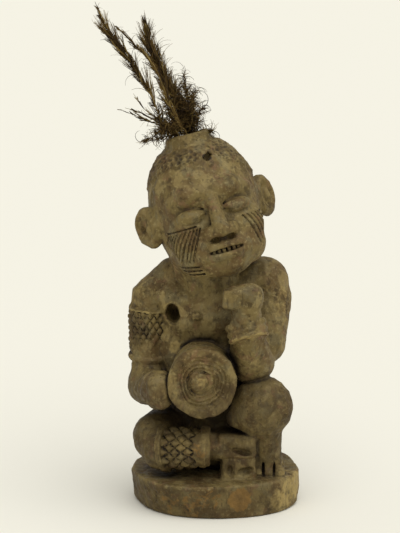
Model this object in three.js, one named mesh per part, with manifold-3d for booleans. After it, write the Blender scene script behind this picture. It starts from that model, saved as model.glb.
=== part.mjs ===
// A carved wooden nkisi figure, seated on its own plinth, with a tuft of feathers in its crown.
// Millimetres, +Z up, the figure faces -Y, and the origin is the middle of the plinth's underside.
// In every form, the figure's right is at -X and its left at +X.

import * as THREE from 'three';
import { mergeVertices } from 'three/addons/utils/BufferGeometryUtils.js';
import { edgeTable, triTable } from 'three/addons/objects/MarchingCubes.js';
import Module from 'manifold-3d';

const wasm = await Module();
wasm.setup();

// The plinth: an oval block, a little askew, whose side leans in at the front right towards its underside
const plinth = {
  halfWidth: 44.2,
  halfDepth: 38.5,
  askew: 13,
  thickness: 18.2,
  edge: 1.2,
  undercut: 0.8,
  frontUndercut: 4.6,
  squareness: 2.4,
};

// The head: its middle, its lean to the figure's right, its turn to the left and its tilt back, in degrees
const head = {
  middle: [-5.4, -1, 160.5],
  lean: 14,
  turn: 11,
  tiltBack: 8,
  halfWidth: 28.8,
  halfDepth: 29,
  halfHeight: 36.5,
};

// The collar on the crown and the socket for the feathers, with heights above the head's middle
const collar = { back: -1, base: 30, top: 37.5, radius: 11.5, socketRadius: 8.4, socketDepth: 15 };

// The drum: the middle of its face, its radius, how much taller than wide it is, its length back to the
// belly, and its carved rings
const drum = { face: [-6.8, -39.5, 73.8], radius: 17.8, tall: 1.04, length: 28, rings: [13.6, 6.6] };

// The netted armband on the right arm, and the netted legging on the right shin
const armband = { low: 82, high: 106.5, radius: 10.6, knots: 17, rows: 8, relief: 1.2 };
const legging = { radius: 12.2, ankleRadius: 10, knots: 11, rows: 7, relief: 1.5 };

// How finely the carved form is sampled, and how many triangles are kept of it
const sampling = { step: 0.85, coarse: 4, margin: 2.5, kept: 5050 };

// The feathers of the tuft. Each has the place of its quill in the socket, by distances to the figure's
// left and back from the socket's axis, then the points that its shaft passes, then its sections from
// root to tip: the share of its length, the half width of the barbs and their half thickness.
const feathers = [
  {
    name: 'feather_tall_left',
    seat: [-4.8, -3.4],
    path: [[-27, -3.5, 203], [-30.5, -3.2, 211], [-34, -3, 220], [-40, -2.5, 230], [-48, -2, 241],
      [-56, -1.5, 252], [-60.5, -1, 262.5]],
    sections: [[0, 0.8, 0.8], [0.4, 0.8, 0.8], [0.58, 3, 1.1], [0.75, 3.4, 1.3], [0.9, 2.6, 1],
      [1, 0.5, 0.5]],
    sides: 8,
  },
  {
    name: 'feather_tall_right',
    seat: [2.2, 1.8],
    path: [[-16.5, 5, 203], [-19, 5.2, 209], [-22.5, 5, 216], [-26, 4.5, 225], [-30.5, 3.5, 235],
      [-34, 3, 243], [-36.2, 2.6, 254]],
    sections: [[0, 1, 1], [0.2, 1, 1], [0.24, 7.4, 3.4], [0.34, 8.4, 4], [0.52, 6, 3], [0.78, 3.6, 1.4],
      [1, 0.5, 0.5]],
    sides: 8,
  },
  {
    name: 'feather_crossing',
    seat: [-0.6, -5.2],
    path: [[-19, -5.2, 203], [-24.5, -6.4, 216], [-29.5, -6.8, 229], [-35, -6.8, 237], [-43, -6.8, 246],
      [-50, -6.6, 253]],
    sections: [[0, 0.8, 0.8], [0.45, 0.8, 0.8], [0.65, 2.2, 1], [0.82, 2.4, 1.1], [1, 0.5, 0.5]],
    sides: 8,
  },
  {
    name: 'feather_short_upper',
    seat: [-6, -0.4],
    path: [[-27, -0.6, 203.5], [-31, -0.8, 206], [-37.5, -1, 211], [-42.5, -1, 218.5]],
    sections: [[0, 0.5, 0.5], [0.5, 0.5, 0.5], [0.75, 1.2, 0.8], [1, 0.4, 0.4]],
    sides: 6,
  },
  {
    name: 'feather_short_middle',
    seat: [-5.4, 2.2],
    path: [[-27, 2.4, 201], [-31, 2.6, 203.5], [-39, 3, 208], [-47, 3, 210.5]],
    sections: [[0, 0.5, 0.5], [0.5, 0.5, 0.5], [0.75, 1.3, 0.8], [1, 0.4, 0.4]],
    sides: 6,
  },
  {
    name: 'feather_short_lower',
    seat: [-3.6, 5],
    path: [[-27, 6, 199], [-31, 6.6, 201.5], [-38.5, 7, 204.5], [-49.5, 7, 209]],
    sections: [[0, 0.5, 0.5], [0.5, 0.5, 0.5], [0.75, 1.2, 0.8], [1, 0.4, 0.4]],
    sides: 6,
  },
];

const { degToRad, clamp, smoothstep } = THREE.MathUtils;

const headTurns = [-head.tiltBack, -head.lean, head.turn];
const headFrame = frameOf(head.middle, headTurns);

// The frame of something set down in its place and turned by degrees about x, y and z
function frameOf(middle, turns) {
  const turn = new THREE.Quaternion().setFromEuler(new THREE.Euler(...turns.map(degToRad), 'YZX'));
  return new THREE.Matrix4().compose(new THREE.Vector3(...middle), turn, new THREE.Vector3(1, 1, 1));
}

// Forms. Each one is a function (x, y, z) that gives the distance to its surface, negative inside.

function egg([cx, cy, cz], [rx, ry, rz]) {
  const smallest = Math.min(rx, ry, rz);
  return (x, y, z) => {
    const ax = (x - cx) / rx;
    const ay = (y - cy) / ry;
    const az = (z - cz) / rz;
    const far = Math.sqrt(ax * ax + ay * ay + az * az);
    const slope = Math.sqrt((ax / rx) ** 2 + (ay / ry) ** 2 + (az / rz) ** 2);
    return slope > 1e-9 ? far * (far - 1) / slope : -smallest;
  };
}

function limb([ax, ay, az], [bx, by, bz], startRadius, endRadius) {
  const [ux, uy, uz] = [bx - ax, by - ay, bz - az];
  const squared = ux * ux + uy * uy + uz * uz;
  return (x, y, z) => {
    const px = x - ax;
    const py = y - ay;
    const pz = z - az;
    const along = Math.min(1, Math.max(0, (px * ux + py * uy + pz * uz) / squared));
    const dx = px - along * ux;
    const dy = py - along * uy;
    const dz = pz - along * uz;
    return Math.sqrt(dx * dx + dy * dy + dz * dz) - startRadius - along * (endRadius - startRadius);
  };
}

function slab([cx, cy, cz], [hx, hy, hz], rounding) {
  return (x, y, z) => {
    const ax = Math.abs(x - cx) - hx + rounding;
    const ay = Math.abs(y - cy) - hy + rounding;
    const az = Math.abs(z - cz) - hz + rounding;
    const ox = Math.max(ax, 0);
    const oy = Math.max(ay, 0);
    const oz = Math.max(az, 0);
    return Math.sqrt(ox * ox + oy * oy + oz * oz) + Math.min(Math.max(ax, ay, az), 0) - rounding;
  };
}

// A round block along z, wider or narrower at its top
function round([cx, cy, cz], halfLength, lowRadius, highRadius, rounding) {
  return (x, y, z) => {
    const share = clamp((z - cz + halfLength) / (2 * halfLength), 0, 1);
    const radius = lowRadius + share * (highRadius - lowRadius);
    const across = Math.sqrt((x - cx) ** 2 + (y - cy) ** 2) - radius + rounding;
    const along = Math.abs(z - cz) - halfLength + rounding;
    const outside = Math.sqrt(Math.max(across, 0) ** 2 + Math.max(along, 0) ** 2);
    return outside + Math.min(Math.max(across, along), 0) - rounding;
  };
}

// A form modelled in a frame of its own, then turned and set down in its place
function placed(form, middle, turns) {
  const e = frameOf(middle, turns).invert().elements;
  return (x, y, z) => form(
    e[0] * x + e[4] * y + e[8] * z + e[12],
    e[1] * x + e[5] * y + e[9] * z + e[13],
    e[2] * x + e[6] * y + e[10] * z + e[14],
  );
}

function softMin(a, b, softness) {
  const overlap = Math.max(softness - Math.abs(a - b), 0) / softness;
  return Math.min(a, b) - overlap * overlap * softness / 4;
}

function join(softness, ...forms) {
  return (x, y, z) => {
    let distance = forms[0](x, y, z);
    for (let i = 1; i < forms.length; i += 1) {
      distance = softMin(distance, forms[i](x, y, z), softness);
    }
    return distance;
  };
}

function carve(softness, form, ...tools) {
  return (x, y, z) => {
    let distance = form(x, y, z);
    for (const tool of tools) {
      distance = -softMin(-distance, tool(x, y, z), softness);
    }
    return distance;
  };
}

// A form whose skin is lowered by a pattern of depths; the pattern is asked only near the skin
function engraved(form, pattern) {
  return (x, y, z) => {
    const distance = form(x, y, z);
    return Math.abs(distance) < sampling.margin ? distance + pattern(x, y, z) : distance;
  };
}

// The slice of a form between two planes square to an axis, on both sides of its middle
function between(form, [cx, cy, cz], [ax, ay, az], halfLength) {
  return (x, y, z) => {
    const along = (x - cx) * ax + (y - cy) * ay + (z - cz) * az;
    return Math.max(form(x, y, z), Math.abs(along) - halfLength);
  };
}

// A ring about the z axis, to cut a groove with
const ringCut = (height, radius, thickness) => (x, y, z) => (
  Math.hypot(Math.hypot(x, y) - radius, z - height) - thickness
);

const bothSides = (make) => [make(-1), make(1)];

// The depth of a cut of rounded section, by the distance from its middle line
const cut = (away, halfWidth, depth) => (away < halfWidth ? depth * (1 - (away / halfWidth) ** 2) : 0);

// Parallel cuts: each starts a step further along one line and ends a step further along another
function comb(count, start, startStep, end, endStep) {
  return Array.from({ length: count }, (_, i) => [
    [start[0] + i * startStep[0], start[1] + i * startStep[1]],
    [end[0] + i * endStep[0], end[1] + i * endStep[1]],
  ]);
}

// The head, in its own frame: x to its left, y to its back, z up

// Scars on the cheeks: slanting and steep combs, level cuts at the corners of the jaw and finer combs on
// the far side. They run between places given in degrees round the head from straight ahead, and heights.
const cheekScars = [
  ...comb(8, [-60, -10.6], [4.3, 0], [-76, -14.5], [3.9, -1.5]),
  ...comb(3, [-26.5, -10.4], [3.2, 0], [-43, -25.8], [4.2, 0]),
  [[-62, -9.2], [-24, -9]],
  ...comb(3, [-60, -27], [-3.5, -2.1], [-31, -29.2], [0, -2.1]),
  ...comb(5, [27, -9.8], [4.4, 0], [40, -26], [5, 1.7]),
  ...comb(4, [48, -9.8], [2.6, -2.3], [67, -8.4], [0.6, -2.5]),
];

// The smooth forehead reaches up between two fields of short hair, which stand a little proud
function hairHeight(x, y, z) {
  const hairline = 13 - x * 0.16 + 5 * Math.exp(-(((x - 6.5) / 4) ** 2)) - y * 0.42;
  return 0.9 * smoothstep(z - hairline, 0, 1.4) * (1 - smoothstep(z, collar.base - 4, collar.base - 2));
}

function headForm() {
  const skull = egg([0, 2, 0], [head.halfWidth, head.halfDepth, head.halfHeight]);
  const jaw = slab([0, -7, -21], [23.5, 19, 14], 11);
  const cheeks = bothSides((side) => egg([side * 14.5, -17, -12], [9.5, 9, 9]));
  const muzzle = egg([0, -21, -23], [16, 10.5, 10]);
  const chin = egg([0, -21, -32.5], [10, 7, 5.5]);
  const innerBrows = bothSides((side) => limb([side * 5, -26.4, 7], [side * 12, -25, 7.4], 1.9, 2.1));
  const outerBrows = bothSides((side) => limb([side * 12, -25, 7.4], [side * 20, -19.2, 4.2], 2.1, 1.7));
  const base = join(6, skull, jaw, muzzle, chin, ...cheeks, ...innerBrows, ...outerBrows);
  const sockets = bothSides((side) => egg([side * 11.5, -29.5, -3.2], [9, 6.2, 5]));
  const eyes = bothSides((side) => egg([side * 11.5, -22.6, -3.6], [8.2, 4.9, 4.3]));
  const bridge = limb([0, -26.5, 4], [0, -32, -13], 2.9, 4.2);
  const wings = bothSides((side) => egg([side * 5, -28.5, -14.2], [4.2, 4.6, 3.8]));
  const face = join(1, join(2, carve(2.5, base, ...sockets), bridge, ...wings), ...eyes);
  const lids = bothSides((side) => slab([side * 11.5, -27, -4.3], [6.4, 2.2, 0.75], 0.6));
  const nostrils = bothSides((side) => egg([side * 4.2, -30, -17.8], [2.3, 3, 1.9]));
  const upperLip = limb([-7, -29.6, -21.6], [7, -29.6, -21.6], 2.6, 2.6);
  const lowerLip = limb([-6, -29.2, -26.6], [6, -29.2, -26.6], 2.9, 2.9);
  const lips = join(1.2, egg([0, -27.4, -24], [13.4, 4.6, 6]), upperLip, lowerLip);
  const parting = egg([0, -32, -24], [10.4, 6, 1.5]);
  const teeth = egg([0, -25.6, -24], [12, 5.2, 4]);
  const whole = join(0.3, carve(0.8, join(1.5, face, lips), parting), teeth);
  const top = round(
    [0, collar.back, (collar.base + collar.top) / 2 - 3],
    (collar.top - collar.base) / 2 + 3,
    collar.radius + 1.5,
    collar.radius,
    1.2,
  );
  const collared = join(1.5, carve(0.6, whole, ...lids, ...nostrils), top);
  const haired = engraved(collared, (x, y, z) => -hairHeight(x, y, z));
  return join(1.5, haired, ...bothSides(earForm));
}

// An ear is a thick oval shell, hollowed on its outer face, set on the side of the head
function earForm(side) {
  const shell = egg([0, 0, 0], [4.8, 9, 11.2]);
  const hollow = egg([4.6, -1.5, 0], [2.6, 6, 8]);
  const forwardTurn = 38;
  const turn = side > 0 ? -forwardTurn : forwardTurn - 180;
  return placed(carve(1, shell, hollow), [side * 31, 2, -4], [0, 0, turn]);
}

// The trunk: seat, belly, chest, shoulders and the thick neck, with a ledge where the neck meets the chest

function trunkForm() {
  const seat = egg([0, 12, 35], [31, 23, 24]);
  const back = limb([-1, 12, 48], [-3, 8, 106], 21, 19);
  const belly = egg([-3, 3, 68], [27, 21, 26]);
  const flank = egg([-22, 1, 84], [10, 12, 17]);
  const chest = egg([-4, 3, 102], [29, 20, 17]);
  const collarbone = limb([-22, -4, 110.5], [14, -5, 108.5], 10, 10);
  const shoulders = limb([-32, 4, 107.5], [25.5, 6, 117.5], 11.6, 13);
  const slope = limb([-35.5, 3, 109.5], [-22, 3, 122], 8.5, 9);
  const neck = limb([-3, 3, 110], [-6, 1, 138], 16.5, 19);
  const nipple = egg([-9.6, -16.8, 104.3], [2.6, 2, 2.4]);
  const ledge = limb([-29, -15, 114.6], [-1, -23.5, 110.6], 1.1, 1.3);
  const spine = limb([-2, 31, 100], [0, 37, 45], 3.4, 3.4);
  const cleft = limb([0, 37, 18], [0, 35, 42], 2, 1.5);
  const torso = join(3, join(6, seat, back, belly, flank, chest, shoulders), slope);
  const front = carve(0.6, join(1.2, join(3, torso, collarbone), neck, nipple), ledge);
  return carve(2.5, front, spine, cleft);
}

// The depth of a net of knots: slanting cuts in two directions, by turns about an axis and rows along it
function netDepth(turn, along, knots, rows, relief) {
  const rising = Math.abs(THREE.MathUtils.euclideanModulo(turn * knots + along * rows / 2, 1) - 0.5);
  const falling = Math.abs(THREE.MathUtils.euclideanModulo(turn * knots - along * rows / 2, 1) - 0.5);
  return relief * Math.max(cut(0.5 - rising, 0.26, 1), cut(0.5 - falling, 0.26, 1));
}

// The right arm hangs from the shoulder, and the hand holds the side of the drum

function rightArmForm() {
  const upperArm = limb([-34, 2, 110.5], [-35.3, -4, 64], 9.2, 9);
  const { low, high, radius, knots, rows, relief } = armband;
  const [axisX, axisY] = [-35, -1];
  const sleeve = round([0, 0, 0], (high - low) / 2, radius, radius, 1.5);
  const netted = engraved(placed(sleeve, [axisX, axisY, (low + high) / 2], [7, 0, 0]), (x, y, z) => {
    const along = (z - low) / (high - low);
    if (along < 0.1 || along > 0.9) return 0;
    return netDepth(Math.atan2(y - axisY, x - axisX) / (2 * Math.PI), along, knots, rows, relief);
  });
  const forearm = limb([-36, -7, 64.4], [-30, -26, 67], 9, 8.6);
  const hand = slab([-28.6, -28.5, 67.4], [5, 8, 8.6], 4);
  const ring = placed(round([0, 0, 0], 1.5, 10.7, 10.7, 1.3), [-35.1, -1.4, 79.6], [7, 0, 0]);
  return join(1.2, join(5, upperArm, forearm, hand), netted, ring);
}

// The left arm stands on the raised knee, with the fist under the chin

function leftArmForm() {
  const upperArm = limb([27, 5, 108], [25, -5, 88], 13.2, 12);
  const elbow = egg([18.8, -15, 79], [11.8, 12, 11]);
  const forearm = limb([18, -21, 84], [16, -32, 102], 10.8, 7.8);
  const wrist = limb([15.6, -33, 104], [16.2, -34.8, 113], 7.6, 6.8);
  const fist = egg([16.8, -35.5, 118.6], [7.8, 7, 7.2]);
  const knuckles = slab([12.5, -36, 118.6], [6, 5.5, 5.4], 3);
  const thumb = slab([7.2, -37.5, 118.4], [3.5, 4.2, 4.6], 1.2);
  const band = carve(0.5, round([0, 0, 0], 3.6, 9.6, 9.2, 1.2), ringCut(0.4, 9.9, 0.9), ringCut(-4, 9.9, 1.3));
  const bracelet = placed(band, [16.4, -31.6, 99.8], [-22, -14, 0]);
  const hand = join(1.5, wrist, fist, knuckles);
  return join(0.6, join(3, upperArm, elbow, forearm), hand, thumb, bracelet);
}

// The left leg is raised, with the shin upright and the foot flat on the plinth

function leftLegForm() {
  const knee = egg([24.5, -20, 56.3], [16, 14, 16.2]);
  const innerKnee = limb([12, -20, 51], [22, -18, 53.4], 6, 9);
  const thigh = limb([23, -13, 53.4], [15, 14, 42], 14, 18);
  const shin = limb([26.3, -17, 47], [26.5, -11, 24], 8.8, 8.2);
  const foot = slab([26.8, -9, 22], [8.4, 9.5, 6], 3);
  const toes = [22.2, 28.1, 33.4].map((x) => limb([x, -12, 22.5], [x, -18.6, 20], 3.2, 2.8));
  const slots = [25.2, 30.9].map((x) => egg([x, -20, 22.8], [0.7, 4, 3.2]));
  const leg = join(0.6, join(3, join(2, knee, innerKnee, thigh), shin, foot), ...toes);
  return carve(0.5, leg, ...slots);
}

// The right leg is folded flat, with the knee out to the side and the foot before the left shin

function rightLegForm() {
  const thigh = limb([-14, 14, 38], [-30, -9, 37], 17, 13.4);
  const kneeAt = [-27, -17, 33.5];
  const ankleAt = [-4, -27.5, 36];
  const cuffAt = [-5.2, -26, 36.6];
  const shin = limb(kneeAt, ankleAt, legging.radius, legging.ankleRadius);
  const axis = new THREE.Vector3(...ankleAt).sub(new THREE.Vector3(...kneeAt));
  const length = axis.length();
  axis.normalize();
  const netted = engraved(shin, (x, y, z) => {
    const along = ((x - kneeAt[0]) * axis.x + (y - kneeAt[1]) * axis.y + (z - kneeAt[2]) * axis.z) / length;
    if (along < 0.13 || along > 0.86) return 0;
    const turn = Math.atan2(z - kneeAt[2], kneeAt[1] + along * length * axis.y - y) / (2 * Math.PI);
    return netDepth(turn, along, legging.knots, legging.rows, legging.relief);
  });

  // The shin ends square in the cuff, and a plain ridge goes round it where the net begins
  const shank = between(netted, kneeAt, [1, 0, 0], cuffAt[0] - kneeAt[0]);
  const start = new THREE.Vector3(...kneeAt).addScaledVector(axis, 0.08 * length);
  const ridgeEnds = [-1, 1].map((side) => start.clone().addScaledVector(axis, side).toArray());
  const ridge = limb(...ridgeEnds, legging.radius + 0.6, legging.radius + 0.6);
  const ridged = join(0.6, shank, between(ridge, start.toArray(), axis.toArray(), 1.5));
  const cuff = placed(round([0, 0, 0], 2.3, 10.6, 10.4, 1.2), cuffAt, [0, 90, 0]);
  const ankle = limb([-5, -22, 36], [4, -18, 34], 7.6, 7.6);
  const upperFoot = slab([10.8, -17, 35.6], [10.4, 9.6, 6.6], 2.6);
  const lowerFoot = slab([12.2, -17.5, 23.6], [9.2, 8.6, 6.8], 2);
  const toeFold = placed(egg([0, 0, 0], [5.6, 4, 2]), [13.6, -27.6, 33.6], [0, 12, 0]);
  const toeRidge = limb([8.6, -25, 37], [18.6, -24.6, 36.6], 1.8, 2.4);
  const toeGap = placed(egg([0, 0, 0], [5, 4, 2.4]), [15.8, -27.4, 22.9], [0, -14, 0]);
  const heelGap = egg([7.6, -27.8, 23.4], [1.6, 3.4, 3]);
  const foot = carve(0.6, join(0.6, upperFoot, lowerFoot, toeRidge), toeFold, toeGap, heelGap);
  return join(0.8, join(3, thigh, ridged), ankle, cuff, foot);
}

function figureForm() {
  const body = join(2.5, trunkForm(), rightLegForm(), leftLegForm());
  const arms = join(2, body, rightArmForm(), leftArmForm());
  const headPlaced = placed(headForm(), head.middle, headTurns);
  const all = join(1, arms, headPlaced);
  const armpit = join(1, egg([-22.3, -13, 104.9], [3.6, 13, 5.2]), egg([-21.4, -10, 102.8], [3.2, 12, 3.8]));
  return carve(1, all, armpit);
}

// The surface of a form: marching cubes on a regular grid, with shared corners. Stretches of the grid
// that are far from the skin take the distance found in the middle of a coarser cell.

function sampledField(form, low, size, step) {
  const [nx, ny, nz] = size;
  const field = new Float64Array(nx * ny * nz);
  const { coarse, margin } = sampling;
  const reach = coarse * step * Math.sqrt(3) + margin;
  const middle = (coarse - 1) / 2;
  for (let bk = 0; bk < nz; bk += coarse) {
    for (let bj = 0; bj < ny; bj += coarse) {
      for (let bn = 0; bn < nx; bn += coarse) {
        const atMiddle = form(
          low[0] + (bn + middle) * step,
          low[1] + (bj + middle) * step,
          low[2] + (bk + middle) * step,
        );
        const far = Math.abs(atMiddle) > reach;
        for (let k = bk; k < Math.min(bk + coarse, nz); k += 1) {
          for (let j = bj; j < Math.min(bj + coarse, ny); j += 1) {
            for (let n = bn; n < Math.min(bn + coarse, nx); n += 1) {
              field[n + nx * (j + ny * k)] = far
                ? atMiddle
                : form(low[0] + n * step, low[1] + j * step, low[2] + k * step);
            }
          }
        }
      }
    }
  }
  return field;
}

function surfaceOf(form, low, high, step) {
  const size = low.map((value, axis) => Math.ceil((high[axis] - value) / step) + 1);
  const field = sampledField(form, low, size, step);
  const [nx, ny, nz] = size;
  const corners = [[0, 0, 0], [1, 0, 0], [1, 1, 0], [0, 1, 0], [0, 0, 1], [1, 0, 1], [1, 1, 1], [0, 1, 1]];
  const edges = [
    [0, 1], [1, 2], [3, 2], [0, 3], [4, 5], [5, 6], [7, 6], [4, 7], [0, 4], [1, 5], [2, 6], [3, 7],
  ];
  const offsets = corners.map(([n, j, k]) => n + nx * (j + ny * k));
  const known = new Map();
  const points = [];
  const triangles = [];

  function pointOn(edge, cell, place) {
    const [from, to] = edges[edge];
    const axis = edge >= 8 ? 2 : edge % 2;
    const key = (cell + offsets[from]) * 3 + axis;
    if (!known.has(key)) {
      const start = field[cell + offsets[from]];
      const share = clamp(start / (start - field[cell + offsets[to]]), 0.05, 0.95);
      known.set(key, points.length);
      points.push(place.map((value, i) => (
        low[i] + (value + corners[from][i] + (i === axis ? share : 0)) * step
      )));
    }
    return known.get(key);
  }

  for (let k = 0; k < nz - 1; k += 1) {
    for (let j = 0; j < ny - 1; j += 1) {
      for (let n = 0; n < nx - 1; n += 1) {
        const cell = n + nx * (j + ny * k);
        const inside = (offset, c) => (field[cell + offset] < 0 ? 1 << c : 0);
        const kind = offsets.reduce((bits, offset, c) => bits | inside(offset, c), 0);
        if (edgeTable[kind] === 0) continue;
        for (let t = kind * 16; triTable[t] !== -1; t += 3) {
          triangles.push([t, t + 2, t + 1].map((entry) => pointOn(triTable[entry], cell, [n, j, k])));
        }
      }
    }
  }
  return { points, triangles };
}

// Thinning: edges are collapsed, cheapest first, by the squared distances from the planes of the
// triangles around them, and never where that would pinch the surface or turn a triangle over.

// Where the carving is fine, an error counts for more: the face, the net of the armband and the legging
function importance(point) {
  const [hx, hy, hz] = head.middle;
  const face = Math.hypot(point.x - hx - 5, point.y - hy + 22, point.z - hz + 14);
  if (face < 22) return 8;
  const netted = point.x < armband.radius - 35 && point.z > armband.low && point.z < armband.high;
  if (netted || (point.y < -20 && point.z < 46)) return 3;
  return point.y > 8 ? 0.6 : 1;
}

function planeOf(p, q, r) {
  const normal = new THREE.Vector3().subVectors(q, p).cross(new THREE.Vector3().subVectors(r, p));
  const area = normal.length();
  if (area > 0) normal.divideScalar(area);
  return { normal, area, offset: -normal.dot(p) };
}

function quadricOf({ normal: { x, y, z }, offset: d, area }, weight) {
  const squares = [x * x, x * y, x * z, x * d, y * y, y * z, y * d, z * z, z * d, d * d];
  return squares.map((value) => value * area * weight);
}

function quadricError(q, { x, y, z }) {
  return q[0] * x * x + 2 * q[1] * x * y + 2 * q[2] * x * z + 2 * q[3] * x
    + q[4] * y * y + 2 * q[5] * y * z + 2 * q[6] * y + q[7] * z * z + 2 * q[8] * z + q[9];
}

function bestPoint(q, a, b) {
  const matrix = new THREE.Matrix3().set(q[0], q[1], q[2], q[1], q[4], q[5], q[2], q[5], q[7]);
  const middle = new THREE.Vector3().addVectors(a, b).multiplyScalar(0.5);
  const scale = Math.max(q[0], q[4], q[7]);
  const choices = [a, b, middle];
  if (Math.abs(matrix.determinant()) > 1e-3 * scale ** 3) {
    const solved = new THREE.Vector3(-q[3], -q[6], -q[8]).applyMatrix3(matrix.invert());
    if (solved.distanceTo(middle) < 2 * a.distanceTo(b)) choices.unshift(solved);
  }
  return choices.reduce((best, point) => (quadricError(q, point) < quadricError(q, best) ? point : best));
}

// A queue that gives back the entry with the lowest cost
class Queue {
  entries = [];

  push(entry) {
    const { entries } = this;
    let i = entries.push(entry) - 1;
    while (i > 0 && entries[(i - 1) >> 1].cost > entry.cost) {
      entries[i] = entries[(i - 1) >> 1];
      i = (i - 1) >> 1;
    }
    entries[i] = entry;
  }

  pop() {
    const { entries } = this;
    const first = entries[0];
    const last = entries.pop();
    if (entries.length === 0) return first;
    let i = 0;
    for (;;) {
      let child = 2 * i + 1;
      if (child >= entries.length) break;
      if (child + 1 < entries.length && entries[child + 1].cost < entries[child].cost) child += 1;
      if (entries[child].cost >= last.cost) break;
      entries[i] = entries[child];
      i = child;
    }
    entries[i] = last;
    return first;
  }
}

function thinned({ points, triangles }, kept) {
  const places = points.map((p) => new THREE.Vector3(...p));
  const around = places.map(() => new Set());
  const quadrics = places.map(() => new Array(10).fill(0));
  const stamps = new Int32Array(places.length);
  triangles.forEach((triangle, t) => {
    const plane = planeOf(...triangle.map((v) => places[v]));
    const quadric = quadricOf(plane, importance(places[triangle[0]]));
    for (const v of triangle) {
      around[v].add(t);
      quadric.forEach((value, i) => { quadrics[v][i] += value; });
    }
  });

  const neighbours = (v) => {
    const found = new Set();
    for (const t of around[v]) triangles[t].forEach((other) => found.add(other));
    found.delete(v);
    return found;
  };

  const queue = new Queue();
  const offer = (a, b) => {
    const quadric = quadrics[a].map((value, i) => value + quadrics[b][i]);
    const point = bestPoint(quadric, places[a], places[b]);
    const cost = quadricError(quadric, point) + 1e-4 * places[a].distanceToSquared(places[b]);
    queue.push({ a, b, point, quadric, cost, stampA: stamps[a], stampB: stamps[b] });
  };

  const keepsFacing = (moved, other, point) => {
    for (const t of around[moved]) {
      if (triangles[t].includes(other)) continue;
      const before = planeOf(...triangles[t].map((v) => places[v]));
      const after = planeOf(...triangles[t].map((v) => (v === moved ? point : places[v])));
      const corners = triangles[t].map((v) => (v === moved ? point : places[v]));
      const longest = Math.max(...corners.map((corner, i) => corner.distanceTo(corners[(i + 1) % 3])));
      if (after.normal.dot(before.normal) < 0.3 || after.area < 0.04 * longest * longest) return false;
    }
    return true;
  };

  for (const [a, b, c] of triangles) {
    for (const [from, to] of [[a, b], [b, c], [c, a]]) {
      if (from < to) offer(from, to);
    }
  }

  let left = triangles.length;
  while (left > kept && queue.entries.length > 0) {
    const { a, b, point, quadric, stampA, stampB } = queue.pop();
    if (stamps[a] !== stampA || stamps[b] !== stampB) continue;
    const nearA = neighbours(a);
    const shared = [...neighbours(b)].filter((v) => nearA.has(v));
    if (shared.length !== 2 || !keepsFacing(a, b, point) || !keepsFacing(b, a, point)) continue;
    for (const t of [...around[b]]) {
      if (triangles[t].includes(a)) {
        triangles[t].forEach((v) => around[v].delete(t));
        triangles[t] = null;
        left -= 1;
      } else {
        triangles[t] = triangles[t].map((v) => (v === b ? a : v));
        around[a].add(t);
      }
    }
    places[a] = point;
    quadrics[a] = quadric;
    stamps[a] += 1;
    stamps[b] = -1;
    for (const v of neighbours(a)) offer(Math.min(a, v), Math.max(a, v));
  }
  return { places, triangles: triangles.filter(Boolean) };
}

function geometryOf({ places, triangles }) {
  const geometry = new THREE.BufferGeometry();
  geometry.setFromPoints(places);
  geometry.setIndex(triangles.flat());
  return geometry;
}

// Solids for joining and cutting, and back again

function solidOf(geometry) {
  const bare = new THREE.BufferGeometry();
  bare.setAttribute('position', geometry.getAttribute('position'));
  bare.setIndex(geometry.index);
  const merged = mergeVertices(bare, 1e-4);
  return new wasm.Manifold(new wasm.Mesh({
    numProp: 3,
    vertProperties: new Float32Array(merged.attributes.position.array),
    triVerts: new Uint32Array(merged.index.array),
  }));
}

function geometryFrom(solid) {
  const { vertProperties, triVerts, numProp } = solid.getMesh();
  const count = vertProperties.length / numProp;
  const positions = new Float32Array(count * 3);
  for (let i = 0; i < count; i += 1) {
    positions.set(vertProperties.subarray(i * numProp, i * numProp + 3), i * 3);
  }
  const geometry = new THREE.BufferGeometry();
  geometry.setAttribute('position', new THREE.BufferAttribute(positions, 3));
  geometry.setIndex(new THREE.BufferAttribute(new Uint32Array(triVerts), 1));
  geometry.computeVertexNormals();
  return geometry;
}

// A scar is a groove of lozenge section, laid along the skin of the cheek. Its corners are found by
// going in towards the head's axis until the skin is met.
function scarGeometry(form, [from, to]) {
  const [halfWidth, depth, strides] = [0.75, 0.9, 40];
  const points = [0, 0.5, 1].map((share) => {
    const turn = degToRad(from[0] + share * (to[0] - from[0]));
    const z = from[1] + share * (to[1] - from[1]);
    let reach = head.halfDepth + 15;
    for (let i = 0; i < strides; i += 1) {
      reach -= form(Math.sin(turn) * reach, -Math.cos(turn) * reach, z) * 0.8;
    }
    return new THREE.Vector3(Math.sin(turn) * reach, -Math.cos(turn) * reach, z);
  });
  const lozenge = new THREE.Shape([
    new THREE.Vector2(halfWidth, 0),
    new THREE.Vector2(0, depth),
    new THREE.Vector2(-halfWidth, 0),
    new THREE.Vector2(0, -depth),
  ]);
  const extrudePath = new THREE.CatmullRomCurve3(points);
  const groove = new THREE.ExtrudeGeometry(lozenge, { extrudePath, steps: 3, bevelEnabled: false });
  return groove.applyMatrix4(headFrame);
}

// The plinth is turned as a round disc and then drawn out to its oval plan

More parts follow.
